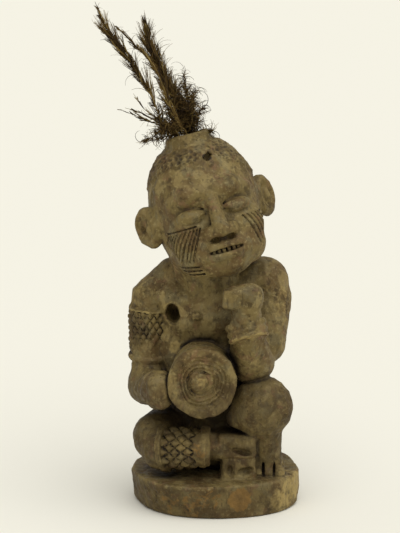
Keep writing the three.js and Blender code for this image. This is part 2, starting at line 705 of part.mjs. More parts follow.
function plinthGeometry() {
  const { thickness, edge, halfWidth, halfDepth, askew, undercut, frontUndercut, squareness } = plinth;
  const profile = [[0, 0], [0.97, 0], [1, edge], [1, thickness - edge], [0.97, thickness], [0, thickness]];
  const disc = new THREE.LatheGeometry(profile.map(([x, y]) => new THREE.Vector2(x, y)), 56);
  disc.rotateX(Math.PI / 2);
  const position = disc.attributes.position;
  for (let i = 0; i < position.count; i += 1) {
    const [x, y, z] = [position.getX(i), position.getY(i), position.getZ(i)];
    const reach = Math.hypot(x, y);
    const [ax, ay] = reach > 0 ? [x / reach, y / reach] : [1, 0];
    const oval = (Math.abs(ax) ** squareness + Math.abs(ay) ** squareness) ** (-1 / squareness);
    const towardsFrontRight = Math.max(0, -0.8 * ax - 0.6 * ay) ** 3;
    const lean = (1 - z / thickness) * (undercut + frontUndercut * towardsFrontRight);
    const outer = Math.max(reach * oval, 0);
    position.setXYZ(i, ax * outer * (halfWidth - lean), ay * outer * (halfDepth - lean), z);
  }
  disc.rotateZ(degToRad(askew));
  return disc;
}

function socketGeometry() {
  const { socketRadius, socketDepth, top } = collar;
  const aboveRim = 4;
  const bore = new THREE.CylinderGeometry(socketRadius, socketRadius, socketDepth + aboveRim, 18);
  bore.rotateX(Math.PI / 2);
  bore.translate(0, collar.back, top + (aboveRim - socketDepth) / 2);
  return bore.applyMatrix4(headFrame);
}

// The drum is turned about its axis, which lies level and points to the front
function drumGeometry() {
  const { face, radius, tall, length, rings } = drum;
  const [groove, edge, boss] = [1.1, 1.2, 1.4];
  const profile = [[0, length + boss], [rings[1] * 0.5, length + boss * 0.8]];
  for (const ring of [...rings].reverse()) {
    profile.push([ring - groove, length], [ring, length - groove], [ring + groove, length]);
  }
  profile.push([radius - edge * 0.6, length], [radius, length - edge], [radius * 0.86, 0], [0, 0]);
  const outline = profile.reverse().map(([x, y]) => new THREE.Vector2(x, y));
  const body = new THREE.LatheGeometry(outline, 30);
  body.rotateX(Math.PI);
  body.scale(1, 1, tall);
  body.translate(face[0], face[1] + length, face[2]);
  return body;
}

function carvedFigure() {
  const { margin, step, kept } = sampling;
  const low = [-plinth.halfWidth - margin, -plinth.halfDepth - 8, plinth.thickness - 6];
  const high = [plinth.halfWidth + margin, plinth.halfDepth + margin, 204];
  const form = figureForm();
  const floor = low[2] + 2 * step;
  const cutFlat = (x, y, z) => Math.max(form(x, y, z), floor - z);
  const sculpted = solidOf(geometryOf(thinned(surfaceOf(cutFlat, low, high, step), kept)));
  const whole = sculpted.add(solidOf(plinthGeometry())).add(solidOf(drumGeometry()));
  const face = headForm();
  const tools = [socketGeometry(), ...cheekScars.map((scar) => scarGeometry(face, scar))];
  return geometryFrom(tools.reduce((solid, tool) => solid.subtract(solidOf(tool)), whole));
}

const figure = new THREE.Mesh(
  carvedFigure(),
  new THREE.MeshStandardMaterial({ color: 0x5f5540, roughness: 0.6, metalness: 0 }),
);
figure.name = 'carved_figure';

// A feather is a closed tube drawn along its shaft, flat where its barbs spread to both sides

function sectionAt(sections, share) {
  const after = Math.max(1, sections.findIndex(([at]) => at >= share));
  const [from, to] = [sections[after - 1], sections[after]];
  const between = smoothstep(share, from[0], to[0]);
  return [1, 2].map((i) => from[i] + between * (to[i] - from[i]));
}

function featherMesh({ name, seat, path, sections, sides }) {
  const socketFloor = collar.top - collar.socketDepth + 0.6;
  const quill = [socketFloor, collar.top + 1].map((height) => (
    new THREE.Vector3(seat[0], collar.back + seat[1], height).applyMatrix4(headFrame)
  ));
  const shaft = new THREE.CatmullRomCurve3([...quill, ...path.map((point) => new THREE.Vector3(...point))]);
  const steps = 3 * path.length;
  const geometry = new THREE.CylinderGeometry(1, 1, 1, sides, steps);
  const position = geometry.attributes.position;
  for (let i = 0; i < position.count; i += 1) {
    const share = clamp(position.getY(i) + 0.5, 0, 1);
    const [halfWidth, halfThickness] = sectionAt(sections, share);
    const along = shaft.getTangentAt(share);
    const across = new THREE.Vector3(0, 1, 0).cross(along).normalize();
    const point = shaft.getPointAt(share)
      .addScaledVector(across, position.getX(i) * halfWidth)
      .addScaledVector(across.clone().cross(along), position.getZ(i) * halfThickness);
    position.setXYZ(i, point.x, point.y, point.z);
  }
  geometry.computeVertexNormals();
  const feather = new THREE.Mesh(
    geometry,
    new THREE.MeshStandardMaterial({ color: 0x2e2718, roughness: 0.8, metalness: 0 }),
  );
  feather.name = name;
  return feather;
}

const group = new THREE.Group();
group.add(figure, ...feathers.map(featherMesh));
export default group;
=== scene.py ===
# Carved wooden nkisi figure with a tuft of feathers: the finer carving, the patina with painted shade and
# painted light, and the feathers.
# The dictionaries hold millimetres and degrees; meshes are made in metres, in the part's own frame.
# In every form the figure's right is at -X and it faces -Y.
import math
from itertools import combinations, product

import bpy
import numpy as np
from mathutils import Matrix, Vector


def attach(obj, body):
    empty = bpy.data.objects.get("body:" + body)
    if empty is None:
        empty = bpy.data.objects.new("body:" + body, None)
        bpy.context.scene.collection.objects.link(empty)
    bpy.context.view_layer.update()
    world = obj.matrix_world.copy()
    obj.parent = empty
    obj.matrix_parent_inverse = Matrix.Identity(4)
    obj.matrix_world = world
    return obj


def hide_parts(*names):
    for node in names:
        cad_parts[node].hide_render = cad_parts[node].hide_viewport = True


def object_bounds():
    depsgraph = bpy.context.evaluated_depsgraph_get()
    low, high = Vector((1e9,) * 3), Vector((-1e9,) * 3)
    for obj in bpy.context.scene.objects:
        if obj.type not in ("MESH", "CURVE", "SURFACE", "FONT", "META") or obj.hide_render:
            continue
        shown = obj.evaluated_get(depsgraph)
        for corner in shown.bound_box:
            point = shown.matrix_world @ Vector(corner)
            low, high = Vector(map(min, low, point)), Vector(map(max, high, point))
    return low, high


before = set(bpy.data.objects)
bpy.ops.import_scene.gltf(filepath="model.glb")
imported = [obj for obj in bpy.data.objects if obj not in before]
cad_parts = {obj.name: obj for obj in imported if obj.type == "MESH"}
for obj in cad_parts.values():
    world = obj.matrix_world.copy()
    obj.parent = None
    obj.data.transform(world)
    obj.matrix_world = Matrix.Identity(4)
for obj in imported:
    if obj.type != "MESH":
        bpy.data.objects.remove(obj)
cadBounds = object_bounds()

view = {
    "elevation": 12,
    "distance": 1200,
    "mmPerPixel": 0.525,  # at the aim point
    "imageWidth": 400,
    "aim": (-8.05, 0, 127),
}


def addObject(name, data):
    added = bpy.data.objects.new(name, data)
    bpy.context.collection.objects.link(added)
    return added


def addCamera():
    tilt = math.radians(view["elevation"])
    forward = Vector((0, math.cos(tilt), -math.sin(tilt)))
    data = bpy.data.cameras.new("camera")
    data.sensor_fit = "HORIZONTAL"
    data.sensor_width = 36
    data.lens = data.sensor_width * view["distance"] / (view["mmPerPixel"] * view["imageWidth"])
    camera = addObject("camera", data)
    camera.location = (Vector(view["aim"]) - forward * view["distance"]) / 1000
    camera.rotation_euler = forward.to_track_quat("-Z", "Y").to_euler()
    bpy.context.scene.camera = camera


addCamera()

# Carving: each form is a function of x, y, z arrays that gives the distance to its skin, negative inside

plinth = {"halfWidth": 44.2, "halfDepth": 38.5, "askew": 13, "thickness": 18.2, "edge": 1.6, "undercut": 0.8,
          "frontUndercut": 4.6, "squareness": 2.4}

head = {"middle": (-5.4, -1, 160.5), "lean": 14, "turn": 11, "tiltBack": 8,
        "halfWidth": 28.8, "halfDepth": 29, "halfHeight": 36.5}
headTurns = (-head["tiltBack"], -head["lean"], head["turn"])

collar = {"back": -1, "base": 30, "top": 37.5, "radius": 11.5, "socketRadius": 8.4, "socketDepth": 15}

drum = {"face": (-6.8, -39.5, 73.8), "radius": 17.8, "tall": 1.04, "length": 28, "taper": 0.14, "rim": 13.2,
        "rings": (13.4, 11.6, 9.6, 7.6, 5.9), "ringCut": 0.75, "dish": 0.7, "boss": 2}

armband = {"low": 82, "high": 106.5, "radius": 10.6, "knots": 17, "rows": 8, "relief": 1.5, "axis": (-35, -1)}
bracelet = {"middle": (16.4, -31.6, 99.8), "turns": (-22, -14, 0), "halfLength": 4.6, "radii": (10.8, 10.2),
            "grooves": ((1.2, 11), (-2.4, 11.2)), "grooveRadius": 1.3}  # each groove's height and reach
legging = {"radius": 12.2, "ankleRadius": 10, "knots": 11, "rows": 7, "relief": 2}

carving = {
    "step": 0.6,  # spacing of the samples of the carved form
    "block": 6,  # samples in a block, which is skipped where it is far from the skin
    "blocksAtOnce": 2500,  # keeps the memory small
    "margin": 1.6,
    "triangles": 196000,
    "waviness": 0.42,  # how far the knife strayed
    "scoopSize": 6.5,
    "scoopDepth": 0.6,
    "grainSize": 1.4,
    "grainDepth": 0.09,
    "stubbleSize": 2.5,
    "stubbleDepth": 0.8,
    "nickDepth": 0.9,
}


def frameOf(middle, turns):
    x, y, z = (math.radians(turn) for turn in turns)
    turn = Matrix.Rotation(y, 3, "Y") @ Matrix.Rotation(z, 3, "Z") @ Matrix.Rotation(x, 3, "X")
    return np.array(turn, dtype=np.float32), np.array(middle, dtype=np.float32)


def sampled(form, points):
    return form(*points.T.astype(np.float32))


def egg(middle, radii):
    def distance(x, y, z):
        ax = (x - middle[0]) / radii[0]
        ay = (y - middle[1]) / radii[1]
        az = (z - middle[2]) / radii[2]
        far = np.sqrt(ax * ax + ay * ay + az * az) + 1e-6
        slope = np.sqrt((ax / radii[0]) ** 2 + (ay / radii[1]) ** 2 + (az / radii[2]) ** 2)
        return far * (far - 1) / np.maximum(slope, 1e-9)

    return distance


def limb(start, end, startRadius, endRadius):
    run = [e - s for s, e in zip(start, end)]
    squared = sum(part * part for part in run)

    def distance(x, y, z):
        px, py, pz = x - start[0], y - start[1], z - start[2]
        along = np.clip((px * run[0] + py * run[1] + pz * run[2]) / squared, 0, 1)
        away = np.sqrt((px - along * run[0]) ** 2 + (py - along * run[1]) ** 2 + (pz - along * run[2]) ** 2)
        return away - startRadius - along * (endRadius - startRadius)

    return distance


def slab(middle, halves, rounding):
    def distance(x, y, z):
        ax = np.abs(x - middle[0]) - halves[0] + rounding
        ay = np.abs(y - middle[1]) - halves[1] + rounding
        az = np.abs(z - middle[2]) - halves[2] + rounding
        outside = np.sqrt(np.maximum(ax, 0) ** 2 + np.maximum(ay, 0) ** 2 + np.maximum(az, 0) ** 2)
        return outside + np.minimum(np.maximum(np.maximum(ax, ay), az), 0) - rounding

    return distance


def rounded(across, along, rounding):
    ax, ay = across + rounding, along + rounding
    outside = np.sqrt(np.maximum(ax, 0) ** 2 + np.maximum(ay, 0) ** 2)
    return outside + np.minimum(np.maximum(ax, ay), 0) - rounding


def roundBlock(middle, halfLength, lowRadius, highRadius, rounding):
    def distance(x, y, z):
        share = np.clip((z - middle[2] + halfLength) / (2 * halfLength), 0, 1)
        radius = lowRadius + share * (highRadius - lowRadius)
        across = np.sqrt((x - middle[0]) ** 2 + (y - middle[1]) ** 2) - radius
        return rounded(across, np.abs(z - middle[2]) - halfLength, rounding)

    return distance


def placed(form, middle, turns):
    turn, origin = frameOf(middle, turns)

    def distance(x, y, z):
        px, py, pz = x - origin[0], y - origin[1], z - origin[2]
        return form(*(turn[0, i] * px + turn[1, i] * py + turn[2, i] * pz for i in range(3)))

    return distance


def softMin(a, b, softness):
    overlap = np.maximum(softness - np.abs(a - b), 0) / softness
    return np.minimum(a, b) - overlap * overlap * softness / 4


def join(softness, *forms):
    def distance(x, y, z):
        found = forms[0](x, y, z)
        for form in forms[1:]:
            found = softMin(found, form(x, y, z), softness)
        return found

    return distance


def carve(softness, form, *tools):
    def distance(x, y, z):
        found = form(x, y, z)
        for tool in tools:
            found = -softMin(-found, tool(x, y, z), softness)
        return found

    return distance


def engraved(form, pattern):
    return lambda x, y, z: form(x, y, z) + pattern(x, y, z)


def inBox(form, low, high):
    # a form that is only worked out in a box; outside it, the distance to the box stands for it
    def distance(x, y, z):
        away = np.maximum.reduce([
            low[0] - x, x - high[0], low[1] - y, y - high[1], low[2] - z, z - high[2],
        ])
        found = (away + 6).astype(np.float32)
        near = away < 0
        if near.any():
            found[near] = form(x[near], y[near], z[near])
        return found

    return distance


def between(form, middle, axis, halfLength):
    # the slice of a form between two planes square to an axis, on both sides of its middle
    def distance(x, y, z):
        along = (x - middle[0]) * axis[0] + (y - middle[1]) * axis[1] + (z - middle[2]) * axis[2]
        return np.maximum(form(x, y, z), np.abs(along) - halfLength)

    return distance


def bothSides(make):
    return [make(-1), make(1)]


def cut(away, halfWidth, depth):
    return depth * np.clip(1 - (away / halfWidth) ** 2, 0, 1)


def smoothStep(value, low, high):
    share = np.clip((value - low) / (high - low), 0, 1)
    return share * share * (3 - 2 * share)


def comb(count, start, startStep, end, endStep):
    # parallel cuts: each starts a step further along one line and ends a step further along another
    return [
        (
            (start[0] + i * startStep[0], start[1] + i * startStep[1]),
            (end[0] + i * endStep[0], end[1] + i * endStep[1]),
        )
        for i in range(count)
    ]


# Noise and knife marks, in millimetres, from seeded lattices

dice = np.random.default_rng(41)
latticeSize = 32
scatterSize = 16
lattice = dice.uniform(-1, 1, (latticeSize,) * 3).astype(np.float32)
scatter = dice.uniform(0, 1, (scatterSize,) * 3 + (4,)).astype(np.float32)


def noise(x, y, z, size):
    cells, shares = [], []
    for value, shift in ((x, 3.7), (y, 11.3), (z, 5.9)):
        scaled = value / size + shift
        low = np.floor(scaled)
        share = scaled - low
        cells.append(low.astype(np.int32))
        shares.append(share * share * (3 - 2 * share))
    found = 0
    for ahead in product((0, 1), repeat=3):
        weight = 1
        for step, share in zip(ahead, shares):
            weight = weight * (share if step else 1 - share)
        spot = tuple((cell + step) % latticeSize for cell, step in zip(cells, ahead))
        found = found + weight * lattice[spot]
    return found


def scoops(x, y, z, size):
    # shallow bowls with sharp ridges between them, as a small adze leaves: 0 at the bottom and 1 at the
    # ridge, with a number of its own for each bowl
    scaled = [x / size, y / size, z / size]
    cells = [np.floor(value).astype(np.int32) for value in scaled]
    nearest = np.full(x.shape, 9, np.float32)
    second = nearest.copy()
    own = np.zeros_like(x)
    for ahead in product((-1, 0, 1), repeat=3):
        middle = scatter[tuple((cell + step) % scatterSize for cell, step in zip(cells, ahead))]
        away = np.sqrt(sum((cells[i] + ahead[i] + middle[..., i] - scaled[i]) ** 2 for i in range(3)))
        second = np.minimum(second, np.maximum(nearest, away))
        own = np.where(away < nearest, middle[..., 3], own)
        nearest = np.minimum(nearest, away)
    return 1 - np.clip((second - nearest) * 1.6, 0, 1), own


# The head, in its own frame: x to its left, y to its back, z up

# cheek scars: degrees round the head from straight ahead, and height in mm
slantScars = comb(8, (-60, -10.6), (4.3, 0), (-76, -14.5), (3.9, -1.5))
steepScars = comb(3, (-26.5, -10.4), (3.2, 0), (-43, -25.8), (4.2, 0))
levelScars = [((-62, -9.2), (-24, -9))] + comb(3, (-60, -27), (-3.5, -2.1), (-31, -29.2), (0, -2.1))
farScars = comb(5, (27, -9.8), (4.4, 0), (40, -26), (5, 1.7))
earScars = comb(4, (48, -9.8), (2.6, -2.3), (67, -8.4), (0.6, -2.5))
cheekScars = slantScars + steepScars + levelScars + farScars + earScars
scar = {"halfWidth": 0.62, "depth": 1.05, "perDegree": 0.46}  # mm along the cheek for each degree


def scarDepth(x, y, z):
    deepest = np.zeros_like(x)
    along = np.degrees(np.arctan2(x, -y)) * scar["perDegree"]
    for start, end in cheekScars:
        start, end = ((degrees * scar["perDegree"], 0, height) for degrees, height in (start, end))
        away = limb(start, end, 0, 0)(along, 0, z)
        deepest = np.maximum(deepest, cut(away, scar["halfWidth"], scar["depth"]))
    return np.where(y < 0, deepest, 0)


shortHair = {"front": 13, "slant": 0.16, "parting": 6, "partingWidth": 4.5, "partingRise": 11,
             "backFall": 0.42, "proud": 0.9}


def hairShare(x, y, z):
    # the smooth forehead reaches up between two fields of short hair
    parting = np.exp(-(((x - shortHair["parting"]) / shortHair["partingWidth"]) ** 2))
    hairline = shortHair["front"] - x * shortHair["slant"] + shortHair["partingRise"] * parting
    hairline -= y * shortHair["backFall"]
    return smoothStep(z - hairline, 0, 1) * (1 - smoothStep(z, collar["base"] + 0.5, collar["base"] + 2))


def earForm(side):
    shell = egg((0, 0, 0), (4.8, 9, 11.2))
    bowl = egg((5, -1.4, 0.4), (4.4, 6.4, 8.6))
    fold = egg((1.2, 1.6, -1), (2.2, 2.4, 5.6))
    canal = egg((2.4, -3.8, -0.5), (3, 1.7, 2.4))
    ear = carve(0.6, join(0.8, carve(0.6, shell, bowl), fold), canal)
    forwardTurn = 38
    turn = -forwardTurn if side > 0 else forwardTurn - 180
    return placed(ear, (side * 31, 2, -4), (0, 0, turn))


toothGap = {"count": 7, "spacing": 2.6, "halfWidth": 0.35}
eye = {"out": 11.5, "depth": -22.6, "height": -3.6, "radii": (8.2, 4.9, 4.3), "cutRadius": 0.5}


def arcCut(middle, height, rise, reach):
    # cuts along a curved line just over an eye's skin; its ends stand higher than its middle by the rise
    wide, deep, tall = eye["radii"]
    places = []
    for share in np.linspace(-1, 1, 7):
        z = height + rise * share * share
        up = (z - eye["height"]) / (tall + 0.3)
        bulge = math.sqrt(max(0.05, 1 - (share * reach / wide) ** 2 - up ** 2))
        places.append((middle + share * reach, eye["depth"] - 0.3 - deep * bulge, z))
    return [limb(a, b, eye["cutRadius"], eye["cutRadius"]) for a, b in zip(places, places[1:])]


def faceForm():
    skull = egg((0, 2, 0), (head["halfWidth"], head["halfDepth"], head["halfHeight"]))
    jaw = slab((0, -7, -21), (23.5, 19, 14), 11)
    cheeks = bothSides(lambda side: egg((side * 14.5, -17, -12), (9.5, 9, 9)))
    muzzle = egg((0, -21, -23), (16, 10.5, 10))
    chin = egg((0, -21, -32.5), (10, 7, 5.5))
    innerBrows = bothSides(lambda side: limb((side * 5, -26.4, 7), (side * 12, -25, 7.4), 1.9, 2.1))
    outerBrows = bothSides(lambda side: limb((side * 12, -25, 7.4), (side * 20, -19.2, 4.2), 2.1, 1.7))
    base = join(6, skull, jaw, muzzle, chin, *cheeks, *innerBrows, *outerBrows)
    sockets = bothSides(lambda side: egg((side * eye["out"], -29.5, -3.2), (9, 6.2, 5)))
    eyes = bothSides(lambda side: egg((side * eye["out"], eye["depth"], eye["height"]), eye["radii"]))
    bridge = limb((0, -26.5, 4), (0, -32, -13), 2.9, 4.2)
    wings = bothSides(lambda side: egg((side * 5, -28.5, -14.2), (4.2, 4.6, 3.8)))
    face = join(1, join(2, carve(2.5, base, *sockets), bridge, *wings), *eyes)
    lids = bothSides(lambda side: arcCut(side * eye["out"], -5.4, 1.3, 6.6))
    creases = bothSides(lambda side: arcCut(side * eye["out"], 0.2, -1.5, 6.4))
    nostrils = bothSides(lambda side: egg((side * 4.2, -30, -17.8), (2.3, 3, 1.9)))
    upperLip = limb((-6.6, -30.6, -21.8), (6.6, -30.6, -21.8), 2.4, 2.4)
    lowerLip = limb((-5.6, -30.2, -26.2), (5.6, -30.2, -26.2), 2.7, 2.7)
    lips = join(1.2, egg((0, -27.4, -24), (13.4, 4.6, 6)), upperLip, lowerLip)
    parting = egg((0, -33, -24), (10, 6, 1.2))
    middle = (toothGap["count"] - 1) / 2
    gaps = [(i - middle) * toothGap["spacing"] for i in range(toothGap["count"])]
    gaps = [slab((x, -31.4, -24), (toothGap["halfWidth"], 3.4, 6), 0.3) for x in gaps]
    teeth = carve(0.3, egg((0, -26, -24), (12, 5.2, 4)), *gaps)
    whole = join(0.3, carve(0.8, join(1.5, face, lips), parting), teeth)
    return carve(0.4, whole, *sum(lids + creases, []), *nostrils)


def headForm():
    base, top, back = collar["base"], collar["top"], collar["back"]
    radius, hole, depth = collar["radius"], collar["socketRadius"], collar["socketDepth"] / 2
    band = roundBlock((0, back, (base + top) / 2 - 3), (top - base) / 2 + 3, radius + 1.5, radius, 1.2)
    socket = roundBlock((0, back, top - depth + 2), depth + 2, hole, hole, 0.3)
    notch = placed(slab((0, 0, 0), (2.4, 5, 1.4), 0.3), (5, -19.5, 24), (0, -38, 0))
    bare = join(1.5, faceForm(), band)
    skin = engraved(bare, lambda x, y, z: scarDepth(x, y, z) - shortHair["proud"] * hairShare(x, y, z))
    return carve(0.4, join(1.2, skin, *bothSides(earForm)), socket, notch)


# The trunk and the neck, with a ledge where the neck meets the chest
def trunkForm():
    seat = egg((0, 12, 35), (31, 23, 24))
    back = limb((-1, 12, 48), (-3, 8, 106), 21, 19)
    belly = egg((-3, 3, 68), (27, 21, 26))
    flank = egg((-22, 1, 84), (10, 12, 17))
    chest = egg((-4, 3, 102), (29, 20, 17))
    collarbone = limb((-22, -4, 110.5), (14, -5, 108.5), 10, 10)
    shoulders = limb((-32, 4, 107.5), (25.5, 6, 117.5), 11.6, 13)
    slope = limb((-35.5, 3, 109.5), (-22, 3, 122), 8.5, 9)
    neck = limb((-3, 3, 110), (-6, 1, 138), 16.5, 19)
    nippleX, nippleZ = -9.6, 104.3
    nipple = egg((nippleX, -16.8, nippleZ), (2.6, 2, 2.4))
    nippleCuts = [
        egg((nippleX + 2.6 * math.cos(turn), -18.6, nippleZ + 2.2 * math.sin(turn)), (0.9, 1.8, 0.8))
        for turn in (0.3, 1.9, 3.4, 4.6)
    ]
    ledge = limb((-29, -15, 114.6), (-1, -23.5, 110.6), 1.1, 1.3)
    spine = limb((-2, 31, 100), (0, 37, 45), 3.4, 3.4)
    cleft = limb((0, 37, 18), (0, 35, 42), 2, 1.5)
    torso = join(3, join(6, seat, back, belly, flank, chest, shoulders), slope)
    front = join(1.2, join(3, torso, collarbone), neck, nipple)
    front = carve(0.6, front, ledge, *nippleCuts)
    return carve(2.5, front, spine, cleft)


def netDepth(turn, along, knots, rows, relief):
    # slanting V cuts in two directions, by turns about an axis and rows along it, leave rounded pyramids
    rising = np.abs((turn * knots + along * rows / 2) % 1 - 0.5)
    falling = np.abs((turn * knots - along * rows / 2) % 1 - 0.5)
    return relief * (2 * np.maximum(rising, falling)) ** 2


def ringCut(height, radius, thickness):
    # a ring about the z axis, to cut a groove with
    return lambda x, y, z: np.hypot(np.hypot(x, y) - radius, z - height) - thickness


def rightArmForm():
    upperArm = limb((-34, 2, 110.5), (-35.3, -4, 64), 9.2, 9)
    low, high = armband["low"], armband["high"]
    axisX, axisY = armband["axis"]
    sleeve = roundBlock((0, 0, 0), (high - low) / 2, armband["radius"], armband["radius"], 1.5)

    def net(x, y, z):
        along = (z - low + 0.5 * noise(x, y, z, 5)) / (high - low)
        turn = np.arctan2(y - axisY, x - axisX) / (2 * np.pi) + 0.006 * noise(x, z, y, 4)
        depth = netDepth(turn, along, armband["knots"], armband["rows"], armband["relief"])
        return np.where((along > 0.08) & (along < 0.92), depth, 0)

    netted = engraved(placed(sleeve, (axisX, axisY, (low + high) / 2), (7, 0, 0)), net)
    forearm = limb((-36, -7, 64.4), (-30, -26, 67), 9, 8.6)
    hand = slab((-28.6, -28.5, 67.4), (5, 8, 8.6), 4)
    ring = placed(roundBlock((0, 0, 0), 1.5, 10.7, 10.7, 1.3), (-35.1, -1.4, 79.6), (7, 0, 0))
    return join(0.8, join(5, upperArm, forearm, hand), netted, ring)


def leftArmForm():
    upperArm = limb((27, 5, 108), (25, -5, 88), 13.2, 12)
    elbow = egg((18.8, -15, 79), (11.8, 12, 11))
    forearm = limb((18, -21, 84), (16, -32, 102), 10.8, 7.8)
    wrist = limb((15.6, -33, 104), (16.2, -34.8, 113), 7.6, 6.8)
    fist = egg((16.8, -35.5, 118.6), (7.8, 7, 7.2))
    knuckles = slab((12.5, -36, 118.6), (6, 5.5, 5.4), 3)
    thumb = slab((7.2, -37.5, 118.4), (3.5, 4.2, 4.6), 1.2)
    patch = placed(slab((0, 0, 0), (3.8, 0.8, 3.2), 0.6), (16, -41.6, 107.6), (-10, 0, 0))
    grooves = [ringCut(height, reach, bracelet["grooveRadius"]) for height, reach in bracelet["grooves"]]
    rings = carve(0.4, roundBlock((0, 0, 0), bracelet["halfLength"], *bracelet["radii"], 1.3), *grooves)
    rings = placed(rings, bracelet["middle"], bracelet["turns"])
    hand = carve(0.8, join(1.5, wrist, fist, knuckles), patch)
    return join(0.6, join(3, upperArm, elbow, forearm), hand, thumb, rings)


def leftLegForm():
    knee = egg((24.5, -20, 56.3), (16, 14, 16.2))
    innerKnee = limb((12, -20, 51), (22, -18, 53.4), 6, 9)
    thigh = limb((23, -13, 53.4), (15, 14, 42), 14, 18)
    shin = limb((26.3, -17, 47), (26.5, -11, 24), 8.8, 8.2)
    foot = slab((26.8, -9, 22), (8.4, 9.5, 6), 3)
    toes = [limb((x, -12, 22.5), (x, -18.6, 20), 3.2, 2.8) for x in (22.2, 28.1, 33.4)]
    slots = [egg((x, -20, 22.8), (0.7, 4, 3.2)) for x in (25.2, 30.9)]
    leg = join(0.6, join(3, join(2, knee, innerKnee, thigh), shin, foot), *toes)
    return carve(0.5, leg, *slots)


def rightLegForm():
    thigh = limb((-14, 14, 38), (-30, -9, 37), 17, 13.4)
    kneeAt, ankleAt = np.array((-27, -17, 33.5)), np.array((-4, -27.5, 36))
    cuffAt = (-5.2, -26, 36.6)
    shin = limb(kneeAt, ankleAt, legging["radius"], legging["ankleRadius"])
    length = np.linalg.norm(ankleAt - kneeAt)
    axis = (ankleAt - kneeAt) / length

    def net(x, y, z):
        along = ((x - kneeAt[0]) * axis[0] + (y - kneeAt[1]) * axis[1] + (z - kneeAt[2]) * axis[2]) / length
        centre = kneeAt[:, None] + axis[:, None] * along.ravel() * length
        turn = np.arctan2(z.ravel() - centre[2], centre[1] - y.ravel()).reshape(x.shape) / (2 * np.pi)
        bent = along + 0.035 * noise(x, y, z, 5)
        turn = turn + 0.012 * noise(y, x, z, 5)
        depth = netDepth(turn, bent, legging["knots"], legging["rows"], legging["relief"])
        return np.where((along > 0.13) & (along < 0.86), depth, 0)

    # the shin ends square in the cuff, and a plain ridge goes round it where the net begins
    start = kneeAt + 0.08 * length * axis
    ridge = limb(start - axis, start + axis, legging["radius"] + 0.6, legging["radius"] + 0.6)
    shin = between(engraved(shin, net), kneeAt, (1, 0, 0), cuffAt[0] - kneeAt[0])
    shank = join(0.6, shin, between(ridge, start, axis, 1.5))
    cuff = placed(roundBlock((0, 0, 0), 2.3, 10.6, 10.4, 1.2), cuffAt, (0, 90, 0))
    ankle = limb((-5, -22, 36), (4, -18, 34), 7.6, 7.6)
    upperFoot = slab((10.8, -17, 35.6), (10.4, 9.6, 6.6), 2.6)
    lowerFoot = slab((12.2, -17.5, 23.6), (9.2, 8.6, 6.8), 2)
    toeFold = placed(egg((0, 0, 0), (5.6, 4, 2)), (13.6, -27.6, 33.6), (0, 12, 0))
    toeRidge = limb((8.6, -25, 37), (18.6, -24.6, 36.6), 1.8, 2.4)
    toeGap = placed(egg((0, 0, 0), (5, 4, 2.4)), (15.8, -27.4, 22.9), (0, -14, 0))
    heelGap = egg((7.6, -27.8, 23.4), (1.6, 3.4, 3))
    foot = join(0.6, upperFoot, lowerFoot, toeRidge)
    foot = carve(0.6, foot, toeFold, toeGap, heelGap)
    return join(0.8, join(3, thigh, shank), ankle, cuff, foot)


# The drum, with its rough, ringed skin towards the viewer
def drumForm():
    faceX, faceY, faceZ = drum["face"]
    halfLength = drum["length"] / 2

    def distance(x, y, z):
        away = np.hypot(x - faceX, (z - faceZ) / drum["tall"])
        back = y - faceY
        radius = drum["radius"] * (1 - drum["taper"] * np.clip(back / drum["length"], 0, 1))
        solid = rounded(away - radius, np.abs(back - halfLength) - halfLength, 1.6)
        rough = 0.7 * noise(x, y, z, 7) + 0.25 * noise(x, y, z, 2.5)
        dish = drum["dish"] * (1 - smoothStep(away + rough, drum["rim"] - 0.6, drum["rim"] + 0.4))
        rings = sum(cut(away + rough - ring, drum["ringCut"], drum["ringCut"]) for ring in drum["rings"])
        boss = drum["boss"] * (1 - smoothStep(np.hypot(x - faceX + 1.5, z - faceZ - 1) + rough, 4, 5.6))
        return solid + np.where(back < 3, dish + rings - boss, 0)

    return distance


def plinthForm():
    turn = math.radians(plinth["askew"])
    half = plinth["thickness"] / 2

    def distance(x, y, z):
        px = x * math.cos(turn) + y * math.sin(turn)
        py = y * math.cos(turn) - x * math.sin(turn)
        reach = np.hypot(px, py) + 1e-6
        leaning = np.maximum(0, (-0.8 * px - 0.6 * py) / reach) ** 3
        share = np.clip(1 - z / plinth["thickness"], 0, 1)
        lean = share * (plinth["undercut"] + plinth["frontUndercut"] * leaning)
        power = plinth["squareness"]
        across = np.abs(px / (plinth["halfWidth"] - lean)) ** power
        along = np.abs(py / (plinth["halfDepth"] - lean)) ** power
        side = ((across + along) ** (1 / power) - 1) * plinth["halfDepth"]
        return rounded(side, np.abs(z - half) - half, plinth["edge"])

    return distance


def figureForm():
    body = join(
        2.5,
        inBox(trunkForm(), (-48, -24, 5), (44, 44, 160)),
        inBox(rightLegForm(), (-50, -44, 10), (28, 36, 62)),
        inBox(leftLegForm(), (-6, -40, 10), (46, 40, 82)),
    )
    arms = join(
        2,
        body,
        inBox(rightArmForm(), (-52, -42, 50), (-16, 18, 126)),
        inBox(leftArmForm(), (-2, -50, 64), (48, 24, 134)),
    )
    placedHead = inBox(placed(headForm(), head["middle"], headTurns), (-46, -46, 112), (38, 40, 206))
    base = inBox(join(0.8, arms, placedHead), (-60, -60, 12), (60, 60, 206))
    armpit = join(1, egg((-22.3, -13, 104.9), (3.6, 13, 5.2)), egg((-21.4, -10, 102.8), (3.2, 12, 3.8)))
    drumBox = inBox(drumForm(), (-30, -46, 48), (16, -6, 98))
    plinthBox = inBox(plinthForm(), (-60, -60, -8), (60, 60, 30))
    return join(1.6, carve(1.2, base, armpit), drumBox, plinthBox)


